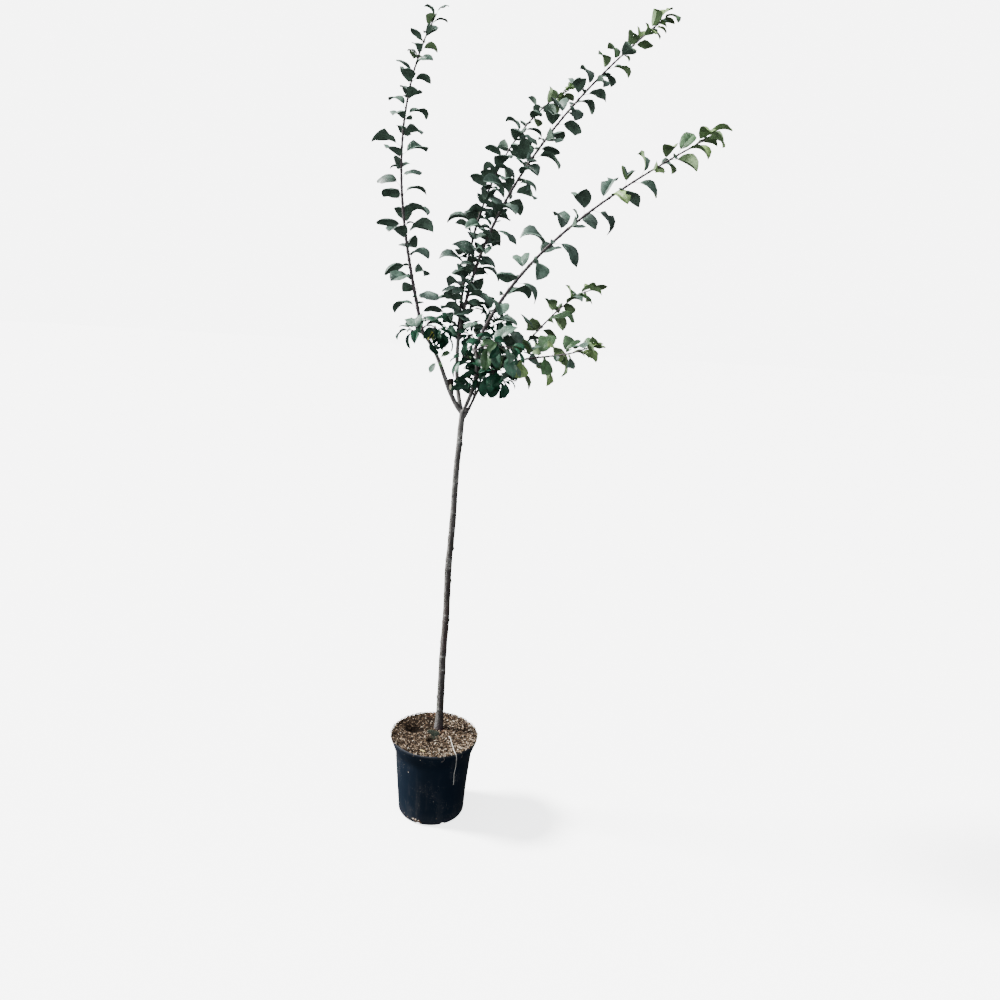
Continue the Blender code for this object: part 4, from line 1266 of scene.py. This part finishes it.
# The share of the stem from which each mass's leaves are fresh, and its deck of tints below that.
NEVER = 2.0
AGES = {
    "shoot_left": (0.93, OLD_DECK),
    "shoot_middle_rear": (0.84, OLD_DECK),
    "shoot_middle_front": (0.86, OLD_DECK),
    "shoot_right": (0.66, OLD_DECK),
    "shoot_low_rear": (0.35, MIDDLE_DECK),
    "shoot_low_front": (0.20, MIDDLE_DECK),
    "spray_right": (NEVER, OUTER_DECK),
    "spray_front": (NEVER, FRONT_DECK),
}


def half_width(s, width):
    """Half the blade's width up its length: widest just past the middle, with a short point."""
    return 0.5 * width * math.sin(math.pi * s**1.12) ** (0.60 + 0.25 * s**3)


def leaf_size(mass, t):
    """Leaves are largest a third of the way up a stem, and small at its tip."""
    middling = 0.80 + 0.28 * math.sin(math.pi * min(1.0, 0.15 + t))
    return mass.leaf * middling * (1.0 + (mass.tip_size - 1.0) * t**5)


def leaf_frame(direction, radial, size, rng, t):
    """The directions and sizes of one leaf, from the place on its stem and its own random draws."""
    axil = math.radians((AXIL + rng.uniform(-10, 10)) * (1.0 - 0.70 * t**6))
    out = direction * math.cos(axil) + radial * math.sin(axil)
    out = (out + UP * rng.uniform(0.0, 0.25)).normalized()
    face = direction * (1.0 - SKYWARD) + UP * SKYWARD
    face = (face - out * face.dot(out)).normalized()
    roll = math.radians(rng.uniform(-42, 42))
    across = out.cross(face)
    face = face * math.cos(roll) + across * math.sin(roll)
    across = out.cross(face)
    length = size * rng.uniform(0.86, 1.10)
    recurve = math.radians(rng.uniform(55, 110))
    fold = math.radians(rng.choice(LEAF_FOLDS))
    return out, face, across, length, recurve, fold


def blade_middle(centre, leaf, s):
    """The blade's midrib at a part of its length, and its normal there."""
    out, face, across, length, recurve, fold = leaf
    bend = recurve * s
    reach = math.sin(bend) / recurve * length
    drop = (1.0 - math.cos(bend)) / recurve * length
    foot = centre + out * (PETIOLE * length)
    return foot + out * reach - face * drop, face * math.cos(bend) + out * math.sin(bend)


def leaf_mesh(centre, leaf, rng, broad=1.0):
    """One leaf: a three-sided stalk, and a thin closed blade, folded, ruffled and puffed up."""
    out, face, across, length, recurve, fold = leaf
    verts, spots = [], []
    bow = rng.uniform(-0.06, 0.06) * length
    stalk = PETIOLE * length
    for share, thick in STALK_RINGS:
        middle = centre + out * (stalk * share) - face * (0.21 * stalk * share * (1.0 - share))
        for side, rise in STALK_CORNERS:
            verts.append(middle + (across * side + face * rise) * (PETIOLE_RADIUS * thick))
            spots.append((0.5, 0.0))
    faces = [(2, 1, 0), (6, 7, 8)]
    for ring in (0, 3):
        for a, b in ((0, 1), (1, 2), (2, 0)):
            faces.append((ring + a, ring + b, ring + b + 3, ring + a + 3))
    sides = [STALK] * len(faces)
    twist, ruffle, phase, waves, bulge = (
        rng.uniform(*most)
        for most in ((-0.38, 0.38), (0.015, 0.05), (0.0, math.tau), (7.0, 12.0), (0.10, 0.20))
    )
    bitten = rng.randrange(1, len(BLADE_STATIONS) - 1) if rng.random() < BITTEN else -1
    base = len(verts)
    for number, s in enumerate(BLADE_STATIONS):
        middle, normal = blade_middle(centre, leaf, s)
        middle = middle + across * (bow * math.sin(math.pi * s))
        level = across * math.cos(twist * s) + normal * math.sin(twist * s)
        raised = normal * math.cos(twist * s) - across * math.sin(twist * s)
        width = half_width(s, LEAF_WIDTH * length * broad)
        toothed = width * (1.0 + (0.025 if number % 2 else -0.025) + rng.uniform(-0.03, 0.03))
        torn = toothed * rng.uniform(0.45, 0.7) if number == bitten else toothed
        edges = []
        for side, edge, shift in ((-1, torn, 0.0), (1, toothed, 1.9)):
            wave = ruffle * length * math.sin(waves * s + phase + shift) * min(1.0, 3.0 * s)
            outward = level * (side * math.cos(fold) * edge)
            edges.append(middle + outward + raised * (math.sin(fold) * edge + wave))
        left, right = edges
        top, under = middle + raised * HALF_THICK, middle - raised * HALF_THICK
        puff = raised * (bulge * width + 0.0002)
        puffed = left.lerp(top, 0.52) + puff, top.lerp(right, 0.48) + puff
        verts += [left, puffed[0], top, puffed[1], right, under]
        spots += [(0.0, s), (0.26, s), (0.5, s), (0.74, s), (1.0, s), (0.5, s)]
    foot_at, tip_at = len(verts), len(verts) + 1
    verts += [blade_middle(centre, leaf, 0.0)[0], blade_middle(centre, leaf, 1.0)[0]]
    spots += [(0.5, 0.0), (0.5, 1.0)]
    last = foot_at - 6
    for here in range(base, last, 6):
        ahead = here + 6
        for column in range(4):
            faces.append((here + column, here + column + 1, ahead + column + 1, ahead + column))
        faces.append((here + 5, here, ahead, ahead + 5))
        faces.append((here + 4, here + 5, ahead + 5, ahead + 4))
        sides += [UPPER] * 4 + [UNDER] * 2
    for column in range(4):
        faces.append((foot_at, base + column + 1, base + column))
        faces.append((tip_at, last + column, last + column + 1))
        sides += [UPPER] * 2
    for a, b in ((0, 5), (5, 4)):
        faces.append((foot_at, base + a, base + b))
        faces.append((tip_at, last + b, last + a))
        sides += [UNDER] * 2
    return verts, faces, sides, spots


def leaf_finish(name, colour):
    """A leathery blade with a pale rib and veins, mottled, and with grey specks painted on its face
    as sheen.
    """
    finish = Finish(name, 0.45)
    shaded, under = name in SHADED, "under" in name
    finish.shader.inputs["Specular IOR Level"].default_value = 0.12 if shaded else 0.38
    if name == "leaf_stalk":
        darker = tuple(0.7 * c for c in colour)
        finish.wear(Base_Color=finish.blend(finish.grain(400.0, 2.0), darker, colour))
        return finish.material
    across, up, _ = finish.parts(finish.node("ShaderNodeUVMap", {"uv_map": "blade"}))
    aside = abs(across - 0.5)
    rib = 1.0 - aside.step(0.012, 0.050)
    side_veins = abs(((up - aside * 0.42) * 8.5).fraction() - 0.5).step(0.40, 0.49)
    veins = (side_veins * 0.75).most(rib)
    mottle = finish.grain(75.0, 4.0)
    dark, light = tuple(0.60 * c for c in colour), tuple(1.30 * c for c in colour)
    base = finish.blend(mottle.step(0.30, 0.70), dark, light)
    pale = tuple(min(1.0, 1.5 * c + 0.035) for c in colour)
    base = finish.blend(veins * (0.42 if under else 0.15 if shaded else 0.30), base, pale)
    if not under:
        # Painted sheen: grey specks on the face, fainter on the shaded tints.
        grey = sum(colour) / 3 + 0.10
        painted_sheen = finish.grain(260.0, 3.0).step(0.54, 0.66) * mottle.step(0.44, 0.60)
        sheen_grey = (0.9 * grey, grey, 0.95 * grey)
        base = finish.blend(painted_sheen * (0.12 if shaded else 0.34), base, sheen_grey)
    finish.wear(Base_Color=base, Roughness=(0.62 if under else 0.36) + 0.22 * mottle)
    finish.relief(0.4 * mottle + (0.7 * veins if under else 0.6 - 0.6 * veins), 0.0009)
    return finish.material


def main_leaves(name):
    """The leaves that the solid bears too: how far up which limb, its foot and its frame."""
    mass, placed = MASSES[name], []
    for number, limb, places in limbs_of(name):
        for index, distance in enumerate(places):
            rng = random.Random(mass.seed * 100000 + number * 1000 + index)
            centre, direction, side, other = along(limb, distance)
            t = distance / limb.length
            turn = index * SPIRAL + rng.uniform(-14, 14)
            drawn = rng.getstate()
            for extra in TURNS_TRIED:
                rng.setstate(drawn)
                angle = math.radians(turn + extra)
                radial = side * math.cos(angle) + other * math.sin(angle)
                leaf = leaf_frame(direction, radial, leaf_size(mass, t), rng, t)
                if is_there(name, blade_middle(centre, leaf, 1.0)[0]):
                    placed.append((number, distance, t, centre, leaf))
                    break
    return placed


def has_room(centre, leaf, clearance):
    """Whether a leaf would keep clear of all the others."""
    spots = [blade_middle(centre, leaf, s)[0] for s in (0.25, 0.6, 1.0)]
    return all((spot - taken).length >= clearance for spot in spots for taken in crowd)


def crowd_in(centre, leaf):
    """Marks the room that a leaf takes."""
    crowd.extend(blade_middle(centre, leaf, s)[0] for s in (0.0, 0.3, 0.65, 1.0))


def small_leaves(name, placed):
    """Leaflets in the axils, and in the thick of the crown a second leaf at a node with room."""
    mass, limbs, added = MASSES[name], [STEMS[name], *TWIGS[name]], []
    for index, (number, distance, t, _, _) in enumerate(placed):
        rng = random.Random(mass.seed * 5000 + index)
        thick = name in CROWDED and rng.random() < 0.45
        thick = thick or (name.startswith("shoot_middle") and t < 0.58)
        shares = [rng.uniform(0.55, 0.90)] if thick else []
        if rng.random() < (0.5 if thick else 0.30):
            shares.append(rng.uniform(0.26, 0.45))
        for share in shares:
            clearance = 0.0110 if share > 0.45 else 0.0070
            for _ in range(6):
                reach = min(max(distance + rng.uniform(-0.006, 0.006), 0.004), limbs[number].length)
                centre, direction, side, other = along(limbs[number], reach)
                angle = rng.uniform(0.0, math.tau)
                radial = side * math.cos(angle) + other * math.sin(angle)
                leaf = leaf_frame(direction, radial, mass.leaf * share, rng, min(t, 0.8))
                tip = blade_middle(centre, leaf, 1.0)[0]
                inside = tip.z >= CROWN_FOOT and is_there(name, tip, 0.030)
                if inside and has_room(centre, leaf, clearance):
                    crowd_in(centre, leaf)
                    added.append((number, reach, t, centre, leaf))
                    break
    return added


def lay_leaf(heap, foot, leaf, rng, tints, broad=1.0):
    """Adds a leaf to a heap, with tints for its upper side and its underside."""
    verts, faces, tinted, spots = heap
    blade, blade_faces, sides, places = leaf_mesh(foot, leaf, rng, broad)
    faces += [tuple(len(verts) + index for index in face) for face in blade_faces]
    tinted += [TINT[(*tints, "leaf_stalk")[side]] for side in sides]
    verts += blade
    spots += places


def foliage_piece(name, heap):
    """A heap of leaves as one piece, with a map of each spot's place across and along its blade."""
    verts, faces, tinted, spots = heap
    foliage = build_mesh(name, verts, faces, tinted, leaf_finishes)
    blade_map = foliage.data.uv_layers.new(name="blade")
    corners = [0] * len(foliage.data.loops)
    foliage.data.loops.foreach_get("vertex_index", corners)
    blade_map.data.foreach_set("uv", [value for corner in corners for value in spots[corner]])
    smooth(foliage, 60.0)
    return foliage


LEAVES = {name: main_leaves(name) for name in MASSES}
crowd = []
for placed in LEAVES.values():
    for _, _, _, centre, leaf in placed:
        crowd_in(centre, leaf)
leaf_finishes = [leaf_finish(name, colour) for name, colour in LEAF_TINTS.items()]
for name, mass in MASSES.items():
    on_spray = name.startswith("spray")
    fresh_from, old_deck = AGES.get(name, (NEVER, INNER_DECK))
    broad = SPRAY_BROAD if on_spray else RIGHT_BROAD if name == "shoot_right" else SHOOT_BROAD
    heap = [], [], [], []
    placed = LEAVES[name] + small_leaves(name, LEAVES[name])
    for number, (_, _, t, centre, leaf) in enumerate(placed):
        spot = blade_middle(centre, leaf, 0.6)[0]
        if name in ("spray_left", "spray_middle") and spot.x < KNEE_LEFT and spot.z < KNEE_TOP:
            continue
        rng = random.Random(mass.seed * 900 + number)
        young = t + rng.uniform(-0.12, 0.12) > fresh_from
        if young and t > 0.9 and rng.random() < 0.6:
            upper = "leaf_young"
        else:
            upper = rng.choice(FRESH_DECK if young else old_deck)
        under = "leaf_under_young" if young else "leaf_jade" if on_spray else "leaf_under"
        lay_leaf(heap, centre, leaf, rng, (upper, under), broad)
    leaves = foliage_piece(f"{name}_leaves", heap)
    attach(leaves, "root")
    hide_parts(name)

# --- Spur leaves -------------------------------------------------------------------------------
# A few young leaves on a short spur of the left bough, at its knee: two green pairs, and above
# them a tuft that has stayed yellow. They sit on the bark by their stalks.

# Each leaf: how far up the bough, which way it points and faces, its length and its tint.
SPUR_LEAVES = (
    (0.166, (-0.68, -0.20, -0.70), (-0.30, -0.75, 0.55), 0.033, "leaf_green"),
    (0.168, (0.62, -0.30, 0.66), (-0.55, -0.50, 0.66), 0.030, "leaf_fresh"),
    (0.164, (0.30, -0.70, -0.40), (-0.20, -0.40, 0.85), 0.018, "leaf_fresh"),
    (0.172, (-0.20, -0.60, 0.60), (-0.50, -0.60, 0.50), 0.016, "leaf_green"),
    (0.220, (0.04, -0.45, 0.90), (-0.35, -0.85, -0.35), 0.030, "leaf_yellow"),
    (0.222, (-0.30, -0.60, 0.60), (-0.60, -0.60, 0.30), 0.018, "leaf_yellow"),
    (0.222, (0.50, -0.50, 0.60), (-0.40, -0.60, 0.60), 0.014, "leaf_young"),
)
SPUR_RECURVE, SPUR_FOLD = math.radians(45.0), math.radians(14.0)

heap = [], [], [], []
for number, (distance, out, face, length, tint) in enumerate(SPUR_LEAVES):
    out = Vector(out).normalized()
    face = (Vector(face) - out * out.dot(Vector(face))).normalized()
    foot = along(BOUGHS["bough_left"], distance)[0] + out * 0.004
    leaf = (out, face, out.cross(face), length, SPUR_RECURVE, SPUR_FOLD)
    lay_leaf(heap, foot, leaf, random.Random(640 + number), (tint, "leaf_under_young"))
spur_leaves = foliage_piece("spur_leaves", heap)
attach(spur_leaves, "root")

# --- Floor, light and camera -------------------------------------------------------------------
# A pale floor that glows and runs into a white backdrop, under a sky that is brighter above and
# on the left. A soft sun shines from there, and a weak softbox from in front.

FLOOR_SIZE, FLOOR_WHITE, FLOOR_GLOW = 60.0, 0.90, 3.0
SKY_COLOUR, SKY_FROM = (0.93, 0.97, 1.0), (-0.50, -0.35, 0.79)
# The sky's strength rises between these shares of facing its bright side.
SKY_SHARES, SKY_STRENGTHS = (-0.55, 0.85), (0.10, 1.20)
BACKDROP_STRENGTH = 6.6
SUN_STRENGTH, SUN_SPREAD = 17.0, 12.0
SUN_COLOUR, SUN_HEADING = (1.0, 0.99, 0.975), (0.78, -0.14, -0.70)
SOFTBOX_PLACE, SOFTBOX_AIM = (1.0, -4.2, 3.0), (0.1, 0.0, 1.2)
SOFTBOX_SIZE, SOFTBOX_POWER, SOFTBOX_COLOUR = 2.4, 90.0, (0.95, 0.97, 1.0)
CAMERA_PLACE = (0.0, -2.27, 1.56)
CAMERA_YAW, CAMERA_PITCH, CAMERA_ROLL = 4.03, 13.38, 3.6
SENSOR_WIDTH, LENS = 36.0, 28.8

floor = add_alone(bpy.ops.mesh.primitive_plane_add, size=FLOOR_SIZE, location=(0.0, 0.0, 0.0))
floor.name = "studio_floor"
floor_finish = Finish("studio_floor", 0.9)
floor_finish.shader.inputs["Base Color"].default_value = (*[FLOOR_WHITE] * 3, 1.0)
floor_finish.shader.inputs["Emission Color"].default_value = (1.0, 1.0, 1.0, 1.0)
floor_finish.shader.inputs["Emission Strength"].default_value = FLOOR_GLOW
floor.data.materials.append(floor_finish.material)
floor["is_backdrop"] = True
floor.visible_diffuse = floor.visible_glossy = False

world = bpy.data.worlds.new("studio_sky")
bpy.context.scene.world = world
world.use_nodes = True
add_node, link = world.node_tree.nodes.new, world.node_tree.links.new
upward = add_node("ShaderNodeTexCoord")
facing = add_node("ShaderNodeVectorMath")
facing.operation = "DOT_PRODUCT"
facing.inputs[1].default_value = SKY_FROM
rise = add_node("ShaderNodeMapRange")
for socket, value in enumerate((*SKY_SHARES, *SKY_STRENGTHS), 1):
    rise.inputs[socket].default_value = value
sky = world.node_tree.nodes["Background"]
sky.inputs["Color"].default_value = (*SKY_COLOUR, 1.0)
backdrop = add_node("ShaderNodeBackground")
backdrop.inputs["Color"].default_value = (1.0, 1.0, 1.0, 1.0)
backdrop.inputs["Strength"].default_value = BACKDROP_STRENGTH
seen = add_node("ShaderNodeLightPath")
either = add_node("ShaderNodeMixShader")
for source, socket in (
    (upward.outputs["Generated"], facing.inputs[0]),
    (facing.outputs["Value"], rise.inputs[0]),
    (rise.outputs[0], sky.inputs["Strength"]),
    (seen.outputs["Is Camera Ray"], either.inputs[0]),
    (sky.outputs[0], either.inputs[1]),
    (backdrop.outputs[0], either.inputs[2]),
    (either.outputs[0], world.node_tree.nodes["World Output"].inputs["Surface"]),
):
    link(source, socket)


def lamp(name, kind, strength, colour, heading_to, place=(0.0, 0.0, 0.0)):
    """A lamp at a place that shines along a direction."""
    light = bpy.data.lights.new(name, kind)
    light.energy, light.color = strength, colour
    holder = bpy.data.objects.new(name, light)
    bpy.context.scene.collection.objects.link(holder)
    holder.location = place
    holder.rotation_euler = Vector(heading_to).to_track_quat("-Z", "Y").to_euler()
    return light


sun = lamp("key_light", "SUN", SUN_STRENGTH, SUN_COLOUR, SUN_HEADING)
sun.angle = math.radians(SUN_SPREAD)
from_softbox = Vector(SOFTBOX_AIM) - Vector(SOFTBOX_PLACE)
softbox = lamp("front_light", "AREA", SOFTBOX_POWER, SOFTBOX_COLOUR, from_softbox, SOFTBOX_PLACE)
softbox.shape, softbox.size = "SQUARE", SOFTBOX_SIZE

camera_data = bpy.data.cameras.new("camera")
camera_data.sensor_width, camera_data.lens = SENSOR_WIDTH, LENS
camera = bpy.data.objects.new("camera", camera_data)
bpy.context.scene.collection.objects.link(camera)
camera.matrix_world = Matrix.Translation(CAMERA_PLACE)
for angle, axis in ((-CAMERA_YAW, "Z"), (90.0 - CAMERA_PITCH, "X"), (CAMERA_ROLL, "Z")):
    camera.matrix_world = camera.matrix_world @ Matrix.Rotation(math.radians(angle), 4, axis)
bpy.context.scene.camera = camera

visual_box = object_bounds()
boxes = {"cad": cad_box, "visual": visual_box}
{name: [list(corner) for corner in box] for name, box in boxes.items()}
